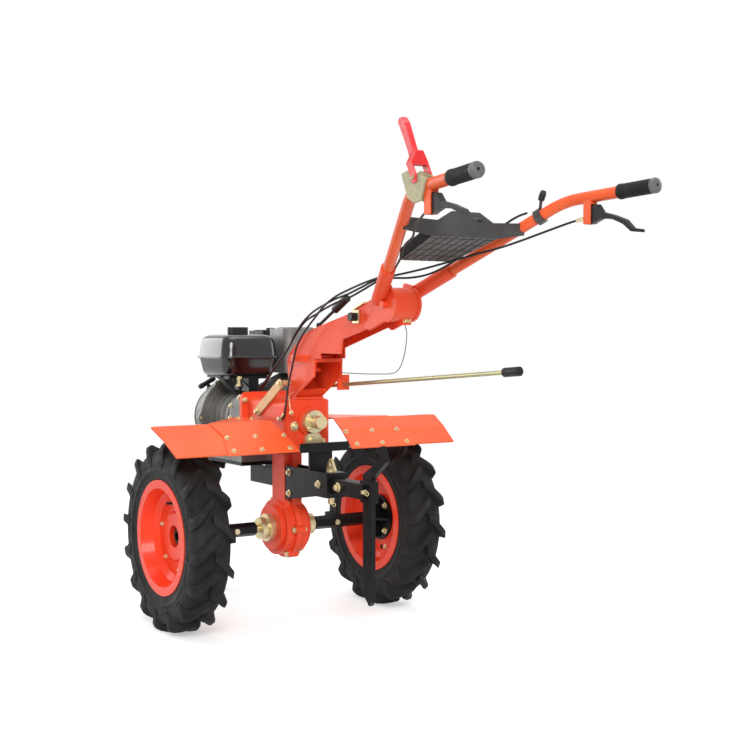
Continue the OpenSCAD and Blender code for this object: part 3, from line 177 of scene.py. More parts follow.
FINISH = {
    # The tyres' lighter lug edges are partly rubbed wear and partly painted highlight that brings out the
    # lugs
    "tyre_rubber": surface(
        "tyre_rubber", rgb(0.010, 0.010, 0.011), rgb(0.022, 0.021, 0.020), 0.72, patch=14.0, grain=1300.0,
        relief=0.22, spread=0.10, shine=0.18, edge=rgb(0.045, 0.043, 0.041), edge_share=0.5),
    # Lighter and yellower than the frame and cast oranges below: painted sheen of the sheet parts that face
    # the light
    "orange_paint": surface(
        "orange_paint", rgb(0.88, 0.132, 0.038), rgb(0.80, 0.100, 0.026), 0.34, coat=0.1, patch=5.0,
        grain=520.0, relief=0.03, edge=rgb(0.88, 0.22, 0.11), edge_share=0.3, shine=0.2),
    "black_paint": surface(
        "black_paint", rgb(0.005, 0.005, 0.006), rgb(0.010, 0.010, 0.010), 0.36, coat=0.03, patch=12.0,
        grain=600.0, relief=0.06, edge=rgb(0.060, 0.058, 0.054), shine=0.14),
    "zinc_plate": surface(
        "zinc_plate", rgb(0.66, 0.53, 0.27), rgb(0.60, 0.53, 0.35), 0.36, metallic=0.8, patch=20.0,
        grain=1500.0, relief=0.015, spread=0.05, edge=rgb(0.72, 0.66, 0.52), edge_share=0.4),
    "engine_alloy": surface(
        "engine_alloy", rgb(0.16, 0.157, 0.148), rgb(0.25, 0.244, 0.228), 0.50, metallic=0.4, patch=16.0,
        grain=420.0, relief=0.22, edge=rgb(0.44, 0.43, 0.41), edge_share=0.5),
    "black_gloss": surface(
        "black_gloss", rgb(0.004, 0.004, 0.005), rgb(0.007, 0.007, 0.008), 0.16, coat=0.45, patch=7.0,
        grain=160.0, relief=0.02, spread=0.04, round_off=4.0, shine=0.4),
    "black_plastic": surface(
        "black_plastic", rgb(0.009, 0.009, 0.010), rgb(0.017, 0.017, 0.017), 0.44, patch=22.0, grain=1700.0,
        relief=0.16, edge=rgb(0.045, 0.045, 0.045), edge_share=0.5, shine=0.25),
    "grip_rubber": surface(
        "grip_rubber", rgb(0.008, 0.008, 0.009), rgb(0.016, 0.016, 0.016), 0.60, patch=40.0, grain=2200.0,
        relief=0.25, shine=0.2),
    "red_plastic": surface(
        "red_plastic", rgb(0.80, 0.032, 0.036), rgb(0.68, 0.020, 0.024), 0.46, coat=0.1, patch=18.0,
        grain=900.0, relief=0.02, edge=rgb(0.84, 0.10, 0.09), edge_share=0.25, shine=0.35),
    "dark_metal": surface(
        "dark_metal", rgb(0.045, 0.045, 0.047), rgb(0.075, 0.072, 0.068), 0.44, metallic=0.5, patch=14.0,
        grain=700.0, relief=0.12, edge=rgb(0.25, 0.24, 0.23), edge_share=0.5),
}
CAST_ORANGE = surface(
    "orange_paint_cast", rgb(0.88, 0.080, 0.026), rgb(0.79, 0.060, 0.017), 0.42, coat=0.1, patch=8.0,
    grain=190.0, relief=0.14, edge=rgb(0.88, 0.22, 0.11), edge_share=0.25, round_off=3.5, shine=0.2)
FRAME_ORANGE = surface(
    "orange_paint_frame", rgb(0.88, 0.088, 0.028), rgb(0.80, 0.066, 0.018), 0.40, coat=0.1, patch=6.0,
    grain=420.0, relief=0.05, edge=rgb(0.88, 0.22, 0.11), edge_share=0.3, shine=0.2)
# The rims' darker, redder copy of the orange paint is painted shade
SHADED_RIM_ORANGE = surface(
    "orange_paint_rim_shaded", rgb(0.90, 0.056, 0.014), rgb(0.82, 0.043, 0.010), 0.34, coat=0.15, patch=7.0,
    grain=420.0, relief=0.04, edge=rgb(0.88, 0.18, 0.09), edge_share=0.35, shine=0.2)
# The tray's end walls, which look along X, get painted shade: near-black with little shine
TRAY_GREY = surface(
    "black_plastic_tray", rgb(0.060, 0.059, 0.058), rgb(0.082, 0.080, 0.078), 0.50, patch=18.0, grain=1200.0,
    relief=0.18, edge=rgb(0.10, 0.10, 0.10), edge_share=0.5, shine=0.2, end_shade=rgb(0.010, 0.009, 0.009))
GRIP_END = surface(
    "grip_rubber_end", rgb(0.10, 0.10, 0.10), rgb(0.14, 0.14, 0.138), 0.42, patch=60.0, grain=1800.0,
    relief=0.12, shine=0.4)
SILENCER_GREY = surface(
    "dark_metal_silencer", rgb(0.17, 0.17, 0.168), rgb(0.23, 0.228, 0.222), 0.46, metallic=0.4, patch=14.0,
    grain=700.0, relief=0.12, edge=rgb(0.38, 0.37, 0.36), edge_share=0.5)
# The seat stay's peach tint, with less metal shine, is a painted reflection of the orange paint around it
ZINC_WITH_ORANGE_REFLECTION = surface(
    "zinc_plate_orange_reflection", rgb(0.62, 0.40, 0.20), rgb(0.54, 0.35, 0.18), 0.50, metallic=0.35, patch=22.0,
    grain=1500.0, relief=0.02, edge=rgb(0.70, 0.58, 0.40), edge_share=0.4, shine=0.3)
OLIVE_ZINC = surface(
    "zinc_plate_olive", rgb(0.46, 0.45, 0.24), rgb(0.42, 0.42, 0.27), 0.38, metallic=0.8, patch=20.0,
    grain=1500.0, relief=0.015, spread=0.05, edge=rgb(0.70, 0.66, 0.52), edge_share=0.4)
DULL_ZINC = surface(
    "zinc_plate_dull", rgb(0.44, 0.39, 0.21), rgb(0.34, 0.32, 0.20), 0.55, metallic=0.25, patch=26.0,
    grain=1500.0, relief=0.03, edge=rgb(0.60, 0.55, 0.38), edge_share=0.4, shine=0.3)
OWN_LOOK = {
    "gear_case": CAST_ORANGE, "final_drive": CAST_ORANGE,
    "column": FRAME_ORANGE, "handlebar_hub": FRAME_ORANGE, "handle_seat": FRAME_ORANGE,
    "rim_left": SHADED_RIM_ORANGE, "rim_right": SHADED_RIM_ORANGE,
    "tool_tray": TRAY_GREY, "muffler": SILENCER_GREY,
    "seat_stay": ZINC_WITH_ORANGE_REFLECTION, "gear_rod": OLIVE_ZINC, "lever_bracket": DULL_ZINC,
}
for part in record["subparts"]:
    shown = frame["nodes"][part["node"]]
    shown.data.materials.clear()
    shown.data.materials.append(OWN_LOOK.get(part["node"], FINISH[part["material_slot"]]))

# Pressed and cast edges that are rounder than the solids have them

ROUND_OVER = {"air_cleaner": 5.0, "muffler": 5.0, "recoil_starter": 3.0}
ROUND_STEPS, ROUND_ANGLE = 3, math.radians(24)
for name, width in ROUND_OVER.items():
    round_over = frame["nodes"][name].modifiers.new("round_over", "BEVEL")
    round_over.width = width * MM
    round_over.segments = ROUND_STEPS
    round_over.limit_method = "ANGLE"
    round_over.angle_limit = ROUND_ANGLE
    round_over.harden_normals = True


# Mesh building blocks: a form is a pair of vertices and faces

def lattice(rings, loop=False, capped=False):
    """Skin over rings of equal length that follow each other."""
    count, size = len(rings), len(rings[0])
    faces = []
    for i in range(count if loop else count - 1):
        here, there = i * size, (i + 1) % count * size
        for j in range(size):
            k = (j + 1) % size
            faces.append((here + j, there + j, there + k, here + k))
    if capped:
        faces += [tuple(range(size)), tuple(reversed(range((count - 1) * size, count * size)))]
    return [Vector(p) for ring in rings for p in ring], faces


def along(centre, axis):
    """Matrix that puts a form drawn about +Z at centre, pointing along axis."""
    return Matrix.Translation(centre) @ Vector(axis).to_track_quat("Z", "Y").to_matrix().to_4x4()


def moved(form, matrix):
    return [matrix @ v for v in form[0]], form[1]


def turns(steps):
    """Angles of a full turn in equal steps."""
    return [2 * math.pi * k / steps for k in range(steps)]


def lathe(profile, steps):
    """Form turned about Z from (radius, height) points, given from its lower end up."""
    rings = [[(r * math.cos(a) * MM, r * math.sin(a) * MM, h * MM) for a in turns(steps)] for r, h in profile]
    return lattice(rings, capped=True)


def spun(profile, steps, centre, axis):
    """Turned form that stands on a place in machine millimetres and points along axis."""
    return moved(lathe(profile, steps), along(at(*centre), axis))


def smooth_route(places, steps):
    """Points on a smooth curve through places in machine millimetres."""
    points = [at(*p) for p in places]
    pts = [points[0]] + points + [points[-1]]
    curve = []
    for a, b, c, d in zip(pts, pts[1:], pts[2:], pts[3:]):
        for k in range(steps):
            t = k / steps
            curve.append(0.5 * (2 * b + (c - a) * t + (2 * a - 5 * b + 4 * c - d) * t ** 2
                                + (3 * b - a - 3 * c + d) * t ** 3))
    return curve + [points[-1]]


def heading(points, i):
    """Direction of a run of points at one of them."""
    return (points[min(i + 1, len(points) - 1)] - points[max(i - 1, 0)]).normalized()


def tube(points, radius, sides=10):
    """Round cord along points."""
    rings = []
    for i, p in enumerate(points):
        run = heading(points, i)
        u = run.cross(Vector(RIGHT)).normalized()
        w = run.cross(u)
        rings.append([p + radius * (math.cos(a) * u + math.sin(a) * w) for a in turns(sides)])
    return lattice(rings, capped=True)


def plate(places, normal, thick):
    """Plate from the corners of its outline in machine millimetres, thick along normal."""
    ring = [at(*p) for p in places]
    return lattice([ring, [p + Vector(normal) * thick * MM for p in ring]], capped=True)


def strap(points, width, thick):
    """Flat band along points in X and Z, width wide along Y."""
    rings = []
    for i, p in enumerate(points):
        side = heading(points, i).cross(Vector(AHEAD)) * thick / 2
        wide = Vector(AHEAD) * width / 2
        rings.append([p + side + wide, p + side - wide, p - side - wide, p - side + wide])
    return lattice(rings, capped=True)


def piece(name, forms, slot, body=None, crease=35.0, look=None):
    """One object from forms, in a slot's finish or a look of its own, riding on a body."""
    verts, faces = [], []
    for v, f in forms:
        faces += [tuple(k + len(verts) for k in face) for face in f]
        verts += v
    mesh = bpy.data.meshes.new(name)
    mesh.from_pydata([tuple(v) for v in verts], [], faces)
    worked = bmesh.new()
    worked.from_mesh(mesh)
    bmesh.ops.recalc_face_normals(worked, faces=worked.faces)
    worked.to_mesh(mesh)
    worked.free()
    mesh.polygons.foreach_set("use_smooth", [True] * len(mesh.polygons))
    mesh.set_sharp_from_angle(angle=math.radians(crease))
    mesh.materials.append(look or FINISH[slot])
    made = bpy.data.objects.new(name, mesh)
    bpy.context.scene.collection.objects.link(made)
    if body:
        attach(made, body)
    return made


# Camera of the photograph

CAMERA_AT = at(-1597.5, -2878.8, 752.2)
CAMERA_AZIMUTH, CAMERA_DOWN = math.radians(33.164), math.radians(2.056)
CAMERA_SENSOR, CAMERA_LENS = 36.0, 60.13
camera = bpy.data.objects.new("camera", bpy.data.cameras.new("camera"))
camera.data.sensor_width = CAMERA_SENSOR
camera.data.lens = CAMERA_LENS
camera.location = CAMERA_AT
camera.rotation_euler = (math.pi / 2 - CAMERA_DOWN, 0, -CAMERA_AZIMUTH)
bpy.context.scene.collection.objects.link(camera)
bpy.context.scene.camera = camera

# Control cables: the source's routes, each cut where it passes to the column and on to the handlebar

CABLE_R, WIRE_R = 2.5 * MM, 1.0 * MM
THIN_SIDES = 8
CURVE_STEPS = 6
CABLE_ROUTES = [
    [(-69, -104, 528), (-70, -126, 540), (-68, -141, 610), (-66, -158, 660), (-66, -183, 713),
     (-66, -223, 750), (-66, -266, 779), (-66, -313, 809), (-66, -364, 830), (-60, -417, 846),
     (-52, -470, 860), (-46, -520, 870), (-42, -563, 876), (-65, -619, 892), (-92, -673, 904),
     (-110, -715, 928), (-134, -780, 942), (-162, -830, 960), (-200, -926, 984)],
    [(-30, 93, 591), (-36, 60, 604), (-46, 10, 626), (-54, -50, 660), (-59, -105, 690), (-60, -137, 714),
     (-60, -163, 742), (-60, -203, 772), (-60, -251, 796), (-60, -303, 812), (-60, -354, 825),
     (-56, -406, 836), (-48, -450, 850), (-40, -500, 866), (-34, -545, 872), (-10, -585, 880),
     (20, -635, 892), (70, -719, 915), (116, -785, 935), (190, -883, 976), (200, -926, 984)],
    [(-22, 93, 591), (-28, 60, 606), (-38, 10, 632), (-46, -50, 668), (-52, -110, 702), (-53, -137, 726),
     (-53, -163, 748), (-53, -203, 774), (-54, -251, 789), (-54, -303, 805), (-53, -354, 818),
     (-50, -406, 829), (-42, -450, 845), (-32, -500, 864), (-20, -535, 869), (16, -560, 870),
     (48, -595, 880), (80, -642, 908), (103, -700, 945), (133, -771, 990), (150, -801, 1003)],
]
CABLE_CUTS = [(0, 6, 12, 18), (0, 8, 14, 20), (0, 8, 14, 20)]
WIRE_ROUTE = [(12, -540, 763), (10, -550, 742), (9, -544, 703), (14, -518, 668), (30, -466, 652),
              (34, -403, 648), (38, -312, 646), (38.5, -222.6, 646)]


def cable_run(run):
    """Lengths of all cables between two cuts."""
    forms = []
    for route, cuts in zip(CABLE_ROUTES, CABLE_CUTS):
        curve = smooth_route(route, CURVE_STEPS)
        forms.append(tube(curve[cuts[run] * CURVE_STEPS:cuts[run + 1] * CURVE_STEPS + 1], CABLE_R))
    return forms


cables_root = piece("cables_root_dressed", cable_run(0), "black_plastic")
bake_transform(cables_root)
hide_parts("cables_root")
cables_column = piece("cables_column_dressed", cable_run(1), "black_plastic")
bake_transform(cables_column)
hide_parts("cables_column")
cables_bar = piece("cables_bar_dressed", cable_run(2), "black_plastic", "handlebar")
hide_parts("cables_bar")

wire = piece("return_wire_dressed", [tube(smooth_route(WIRE_ROUTE, CURVE_STEPS), WIRE_R, THIN_SIDES)],
             "dark_metal")
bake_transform(wire)
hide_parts("return_wire")

# Tyres: a moulded carcass with bead lines, and lugs with filleted feet that run out down the sidewall

WHEEL_X = 308.0
TREAD_R, LUGS, LUG_SWEEP = 220.0, 16, 48.0
LUG_FOOT, LUG_TOP, LUG_FILLET, LUG_EDGE = 13.5, 9.5, 5.0, 1.8
LUG_ROOT, LUG_DRAFT = 3.0, 0.6
CARCASS_STEPS = 96
# Radius and place across the tread, from the bead out to the middle
CARCASS = [(127.2, 41.8), (134, 42.0), (144.2, 41.9), (146, 44.5), (150, 45.5), (152, 44.8), (160, 47.6),
           (166, 49.2), (167, 50.4), (170, 50.6), (171.5, 49.6), (180, 50.8), (188, 50.6), (196, 49.6),
           (203, 48.0), (208, 45.2), (212.5, 41), (216, 35), (218.5, 27), (220, 15), (220.6, 4)]
# Place across the tread, share of the sweep, share of the width, foot and top radius, as in the source
LUG_STATIONS = [(-5, -0.5, 0.86, 217, 233.5), (0, -0.43, 1.0, 217, 236), (14, -0.22, 1.0, 217, 236.8),
                (28, 0.1, 1.0, 215, 237), (40, 0.33, 1.0, 209, 235), (48, 0.47, 1.0, 201, 231),
                (51.2, 0.51, 0.92, 196, 225), (52.4, 0.54, 0.7, 190, 212), (52.2, 0.57, 0.42, 184, 197)]
# Moulding hairs on the lugs' outer ends
HAIR_L, HAIR_R, HAIR_STEPS = 6.0, 0.45, 5
HAIR_PROFILE = [(HAIR_R, 0), (HAIR_R, HAIR_L * 0.7), (HAIR_R * 0.3, HAIR_L)]
HAIR_AT_R, HAIR_AT_SWEEP, HAIR_ACROSS = 215, 0.53, 51.5
HAIR_OUT, HAIR_ASIDE = 0.35, 0.1
TYRE_CREASE = 42.0


def turned(r, angle, across):
    """Point of a wheel that lies about the origin with its axle along Z."""
    return Vector((r * math.cos(angle), r * math.sin(angle), across)) * MM


def carcass():
    profile = CARCASS + [(r, -w) for r, w in reversed(CARCASS)]
    return lattice([[turned(r, a, w) for r, w in profile] for a in turns(CARCASS_STEPS)], loop=True)


def lug(side):
    """One lug of the +Z row, about angle zero."""
    rings = []
    for across, sweep, width, foot, top in LUG_STATIONS:
        section = [(LUG_FOOT + LUG_FILLET, foot - LUG_ROOT), (LUG_FOOT, foot + LUG_FILLET),
                   (LUG_TOP + LUG_DRAFT, top - LUG_EDGE), (LUG_TOP - LUG_EDGE, top)]
        mid = side * sweep * LUG_SWEEP
        rings.append([turned(r, (mid + sign * w * width) / TREAD_R, across)
                      for sign, half in ((-1, section), (1, reversed(section))) for w, r in half])
    return lattice(rings, capped=True)


def tyre(side):
    hub = Matrix.Translation(at(side * WHEEL_X, 0, 0) + Vector((0, 0, AXLE.z)))
    out = hub @ Matrix.Rotation(side * math.pi / 2, 4, "Y")
    forms = [carcass()]
    hair_at = turned(HAIR_AT_R, side * HAIR_AT_SWEEP * LUG_SWEEP / TREAD_R, HAIR_ACROSS)
    hair = moved(lathe(HAIR_PROFILE, HAIR_STEPS), along(hair_at, (HAIR_OUT, HAIR_ASIDE * side, 1)))
    for row in (0, 1):
        flip = Matrix.Scale(-1, 4, (0, 0, 1)) if row else Matrix.Identity(4)
        for k in range(LUGS):
            turn = flip @ Matrix.Rotation(2 * math.pi * (k + row / 2) / LUGS, 4, "Z")
            forms += [moved(lug(side), turn), moved(hair, turn)]
    return [moved(form, out) for form in forms]


for side, name in ((-1, "tyre_left"), (1, "tyre_right")):
    moulded = piece(name + "_moulded", tyre(side), "tyre_rubber", "wheelset", crease=TYRE_CREASE)
    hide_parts(name)

# Grips: ribbed rubber sleeves with a collar, closed by a rounded end with a hole

GRIP_STEPS, GRIP_BORE, GRIP_GROOVE, GRIP_RIB = 40, 12.8, 1.6, 0.7
GRIP_COLLAR, GRIP_FIRST_RIB, GRIP_RIBS, GRIP_RIB_PITCH, GRIP_LAST = 7.0, 10.0, 13, 5.4, 12.0
# Distances in from the grip's radius and back from its end, then radii of the hole and distances from the end
GRIP_END_ROUND = [(1.2, 12.4), (0.5, 11.5), (0.2, 5), (1.5, 1.6), (4, 0.2)]
GRIP_END_HOLE = [(4.4, 0), (3.6, 0.6), (3.4, 6), (0.5, 6.2)]


def grip(mount):
    """Sleeve and end of the grip at a mount."""
    length, r = mount["dims"]["length_mm"], mount["dims"]["r_mm"]
    groove, rib = r - GRIP_GROOVE, r - GRIP_RIB
    sleeve = [(GRIP_BORE, 0), (r - 0.4, 0), (r, 1), (r, GRIP_COLLAR), (groove, GRIP_COLLAR + 1.5)]
    for k in range(GRIP_RIBS):
        base = GRIP_FIRST_RIB + k * GRIP_RIB_PITCH
        sleeve += [(groove, base), (rib, base + 0.8), (rib, base + 3.6), (groove, base + 4.4)]
    sleeve.append((groove, length - GRIP_LAST))
    end = [(r - inset, length - back) for inset, back in GRIP_END_ROUND]
    end += [(hole_r, length - back) for hole_r, back in GRIP_END_HOLE]
    axis = Vector(mount["axis"])
    place = along(Vector(mount["pos_m"]) - axis * length / 2 * MM, axis)
    return moved(lathe(sleeve, GRIP_STEPS), place), moved(lathe(end, GRIP_STEPS), place)


sleeves, grip_ends = zip(grip(mounts["grip_left"]), grip(mounts["grip_right"]))
grips = piece("grips_ribbed", sleeves, "grip_rubber", "handlebar")
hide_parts("grips")
piece("grip_ends", grip_ends, "grip_rubber", "handlebar", look=GRIP_END)

# Fasteners: hexagon heads with a chamfer on a washer, placed on the face that carries them

WASHER, WASHER_STEPS = 1.4, 24


def bolt(centre, axis, flats, height, washer=True):
    """Head of a bolt on the face at centre; flats is its width over the flats."""
    r = flats / 2 / math.cos(math.pi / 6)
    seat = WASHER if washer else 0.0
    forms = [spun([(r, seat), (r, seat + height * 0.78), (flats / 2 * 0.92, seat + height)], 6, centre, axis)]
    if washer:
        ring = [(flats * 0.78, 0), (flats * 0.82, 0.3), (flats * 0.82, 1.0), (flats * 0.74, seat)]
        forms.append(spun(ring, WASHER_STEPS, centre, axis))
    return forms


def both(centre, axis, flats, height):
    """A bolt and its mirror image on the other side of the machine."""
    (x, y, z), (across, ahead, up) = centre, axis
    return bolt(centre, axis, flats, height) + bolt((-x, y, z), (-across, ahead, up), flats, height)


def circle_of(centre, axis, radius, count, start, flats, height, washer=True):
    """Bolts on a circle about an axis along X or Y, the first one start degrees round."""
    forms = []
    for k in range(count):
        a = math.radians(start) + 2 * math.pi * k / count
        u, w = radius * math.cos(a), radius * math.sin(a)
        off = (0, u, w) if abs(axis[0]) > 0.5 else (u, 0, w)
        forms += bolt(tuple(c + o for c, o in zip(centre, off)), axis, flats, height, washer)
    return forms


FENDER_NORMAL = (0, -0.548, 0.836)
FENDER_KNEE_Y, FENDER_KNEE_Z, FENDER_FALL, FENDER_TOP = -150.0, 497.0, 42.0 / 64.0, 524
FENDER_ROWS = ((-159, (90, 170, 247)), (-202, (97, 174, 250)))
FENDER_TOP_BOLTS = ((112, -30), (132, 4))
FENDER_FLATS, FENDER_HEAD = 8, 4.5
SEAM_X, SEAM_R, SEAM_BOLTS, SEAM_START = 14, 76.5, 6, -150
BEARING_X, BEARING_R = 59.3, 31.5
TAKE_OFF_AT, TAKE_OFF_R = (0, -159, 521), 22.5
# Place, axis, width over flats and height of bolts that are on both sides, and of those on one side
PAIRED_BOLTS = [((72, 86, 450), BACK, 10, 6), ((72, 86, 510), BACK, 10, 6), ((72, 86, 566), BACK, 10, 6),
                ((24, -66, 332), RIGHT, 11, 6), ((24, -66, 386), RIGHT, 11, 6),
                ((28, -221, 371), RIGHT, 12, 7), ((18, -298, 371), RIGHT, 14, 9)]
SINGLE_BOLTS = [((-71, 20, 540), LEFT, 10, 6), ((-71, -104, 618), LEFT, 11, 6),
                ((-43, -130, 510), BACK, 15, 6), ((40, -130, 468), BACK, 10, 5),
                ((-100, -187, 456), UP, 9, 5), ((100, -187, 456), UP, 9, 5)]


def on_fender(x, y):
    return (x, y, FENDER_KNEE_Z + (y - FENDER_KNEE_Y) * FENDER_FALL)


chassis_bolts = []
for y, columns in FENDER_ROWS:
    for x in columns:
        chassis_bolts += both(on_fender(x, y), FENDER_NORMAL, FENDER_FLATS, FENDER_HEAD)
for x, y in FENDER_TOP_BOLTS:
    chassis_bolts += both((x, y, FENDER_TOP), UP, FENDER_FLATS, FENDER_HEAD)
for k in range(SEAM_BOLTS):
    a = math.radians(SEAM_START + 360 // SEAM_BOLTS * k)
    for side, axis in SIDES:
        seam = (side * SEAM_X, SEAM_R * math.sin(a), AXLE_H - SEAM_R * math.cos(a))
        chassis_bolts += bolt(seam, axis, flats=11, height=6)
for side, axis in SIDES:
    chassis_bolts += circle_of((side * BEARING_X, 0, AXLE_H), axis, BEARING_R, count=4, start=45,
                               flats=6, height=4, washer=False)
chassis_bolts += circle_of(TAKE_OFF_AT, BACK, TAKE_OFF_R, count=4, start=45,
                           flats=7, height=4.5, washer=False)
for centre, axis, flats, height in PAIRED_BOLTS:
    chassis_bolts += both(centre, axis, flats, height)
for centre, axis, flats, height in SINGLE_BOLTS:
    chassis_bolts += bolt(centre, axis, flats, height)
piece("fasteners_chassis", chassis_bolts, "zinc_plate", "chassis")

RIM_PLATE, RIM_BOLT_R = 3, 84
HUB_FACE, HUB_BOLT_R = 14, 48
wheel_bolts = []
for side, axis in SIDES:
    inward = tuple(-c for c in axis)
    for face, step in ((inward, -RIM_PLATE), (axis, RIM_PLATE)):
        wheel_bolts += circle_of((side * (WHEEL_X + step), 0, AXLE_H), face, RIM_BOLT_R, count=6, start=15,
                                 flats=8, height=4.5)
    wheel_bolts += circle_of((side * (WHEEL_X - HUB_FACE), 0, AXLE_H), inward, HUB_BOLT_R, count=4, start=45,
                             flats=11, height=6)
piece("fasteners_wheels", wheel_bolts, "zinc_plate", "wheelset")

# Clamp screws of the return wire, behind and below the tilt pin

CLAMP_X, CLAMP_BEHIND, CLAMP_BELOW = (7, 17), 14, 36
tilt_mm = (joint_at["handle_tilt"] - GROUND_UNDER_AXLE) / MM
column_bolts = []
for x in CLAMP_X:
    column_bolts += bolt((x, tilt_mm.y - CLAMP_BEHIND, tilt_mm.z - CLAMP_BELOW), BACK, flats=7, height=5)
piece("fasteners_column", column_bolts, "zinc_plate", "column")

# Spring clips through the hitch pin and the stake's cross pin

CLIP = [(0, 0, 0), (0, -24, -1), (0, -32, -6), (0, -28, -12), (0, -16, -10), (0, -8, -3.5), (0, 2, -8)]
CLIP_R, CLIP_STEPS = 1.3 * MM, 5
HITCH_CLIP, STAKE_CLIP, STAKE_PIN = (0, -224, 330), (-15, -397, 376), (-11, -409, 371)


def clip(x, y, z):
    bent = [(x + dx, y + dy, z + dz) for dx, dy, dz in CLIP]
    return tube(smooth_route(bent, CLIP_STEPS), CLIP_R, THIN_SIDES)


clips = [clip(*HITCH_CLIP), clip(*STAKE_CLIP)] + bolt(STAKE_PIN, LEFT, flats=9, height=9)
piece("clips", clips, "zinc_plate", "chassis")

# Fittings on the cable ends: a clevis on the gear case, barrel adjusters at the hand levers

SHIFT_ROUTE = [(-48, -137, 598), (-64, -141, 590), (-69, -150, 568), (-68, -156, 549)]
SHIFT_R = 0.9 * MM
SHIFT_PIN, CLEVIS_AT = (-65, -156, 546), (-62, -104, 528)
FERRULE_AT, FERRULE_AXIS = (-69.5, -112, 532), (-0.05, -0.6, 0.5)
ADJUSTER_AT, ADJUSTER_NUT, ADJUSTER_AXIS = (193, -908, 980), (197, -918, 982), (0.36, -0.9, 0.2)
BARREL_STEPS = 16


def barrel(centre, axis, r, length):
    """Small turned sleeve with chamfered ends."""
    return spun([(r * 0.6, 0), (r, 0.8), (r, length - 0.8), (r * 0.6, length)], BARREL_STEPS, centre, axis)


def to_side(side, place):
    """A place or direction of the right side, or its mirror image on the left."""
    return (side * place[0], place[1], place[2])


case_end = [barrel(CLEVIS_AT, LEFT, r=5.0, length=16), barrel(FERRULE_AT, FERRULE_AXIS, r=4.0, length=14)]
case_end += bolt(SHIFT_PIN, LEFT, flats=8, height=5)
piece("cable_fittings_chassis", case_end, "zinc_plate", "chassis")
shift_wire = tube(smooth_route(SHIFT_ROUTE, CURVE_STEPS), SHIFT_R, THIN_SIDES)
piece("shift_wire", [shift_wire], "zinc_plate", "chassis")
adjusters = []
for side in (-1, 1):
    reach = Vector(to_side(side, ADJUSTER_AXIS)).normalized()
    adjusters.append(barrel(to_side(side, ADJUSTER_AT), reach, r=4.2, length=20))
    adjusters += bolt(to_side(side, ADJUSTER_NUT), reach, flats=9, height=4, washer=False)
piece("cable_fittings_handlebar", adjusters, "zinc_plate", "handlebar")

# Fuel tank: two pressed halves with round shoulders, joined at a seam flange

TANK_X, TANK_Y, TANK_Z = -28.0, 213.0, 628.0
TANK_HALF_W, TANK_HALF_L, TANK_CORNER, TANK_CREASE = 84.0, 93.0, 32.0, 50.0
CORNER_SHRINK, CORNER_MOST = 1 / 3, 0.9
CORNER_STEPS = 9
# Steps in from the widest outline and heights over the underside
TANK_PROFILE = [(60, 0), (22, 0), (15, 2), (10.5, 6.5), (8, 13), (4.8, 29), (1.6, 44), (0.6, 47.4),
                (-3.6, 48), (-4, 48.8), (-4, 52.2), (-3.6, 53), (0.4, 53.6), (0.8, 56), (2.2, 71), (4, 88),
                (6.2, 97), (10.5, 104), (17, 108.4), (26, 110.8), (46, 111.8), (66, 112)]


def round_outline(half_w, half_l, corner):
    """Points round a rectangle with round corners, about its middle."""
    points = []
    for turn, (x, y) in enumerate(((1, 1), (-1, 1), (-1, -1), (1, -1))):
        for k in range(CORNER_STEPS):
            a = math.pi / 2 * (turn + k / (CORNER_STEPS - 1))
            points.append((x * (half_w - corner) + corner * math.cos(a),
                           y * (half_l - corner) + corner * math.sin(a)))
    return points


tank_rings = []
for inset, height in TANK_PROFILE:
    half_w, half_l = TANK_HALF_W - inset, TANK_HALF_L - inset
    corner = min(TANK_CORNER - inset * CORNER_SHRINK, half_w * CORNER_MOST)
    tank_rings.append([at(TANK_X + x, TANK_Y + y, TANK_Z + height)
                       for x, y in round_outline(half_w, half_l, corner)])
tank_form = lattice(tank_rings, capped=True)
tank = piece("fuel_tank_pressed", [tank_form], "black_gloss", "chassis", crease=TANK_CREASE)
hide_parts("fuel_tank")

# Engine: rim with bolt ears round the fan housing, ribs, side cover, tank strap, fuel tap with its hose

CRANK_Z = 510.0
RING_STEPS = 180
EARS, EAR_R, EAR_SHARPNESS, EAR_BOLT_R = 6, 7.0, 6, 109.0
# Rear face, inner and outer radius and thickness of the rim and of the ring inside it
RIM_RING, INNER_RING = (279.0, 100.0, 109.0, 10.0), (280.5, 84.0, 90.0, 5.0)
RIB_SECTION = [(69.0, -2.5), (69.0, 2.5), (77.0, 1.8), (77.0, -1.8)]
RIB_PLACES, RIB_DEGREES = range(118, 255, 34), range(96, 200, 6)
SIDE_COVER = [(-70, 100, 581), (-70, 112, 581), (-70, 166, 552), (-70, 172, 520), (-70, 150, 470),
              (-70, 100, 462)]
SIDE_COVER_THICK = 6.0
SIDE_COVER_BOLTS = [(-76, 108, 572), (-76, 158, 548), (-76, 163, 516), (-76, 108, 470)]
STRAP_ROUTE = [(-92, 205, 627), (-84, 205, 622), (-66, 205, 602), (-46, 205, 586), (-22, 205, 577)]
STRAP_W, STRAP_THICK, STRAP_STEPS = 34.0 * MM, 4.0 * MM, 5
TAP_AT, TAP_AXIS, TAP_STEPS = (-62, 138, 628), (0, 0, -1), 20
TAP_PROFILE = [(7, 0), (7, 9), (5, 10), (5, 20), (8, 21), (8, 27), (4, 29)]
HOSE_ROUTE = [(-62, 138, 600), (-60, 140, 590), (-48, 150, 584), (-20, 170, 588), (6, 190, 592)]
HOSE_R = 3.5 * MM


def about_crank(r, angle, y):
    """Place at a radius and an angle about the crankshaft."""
    return (r * math.cos(angle), y, CRANK_Z + r * math.sin(angle))


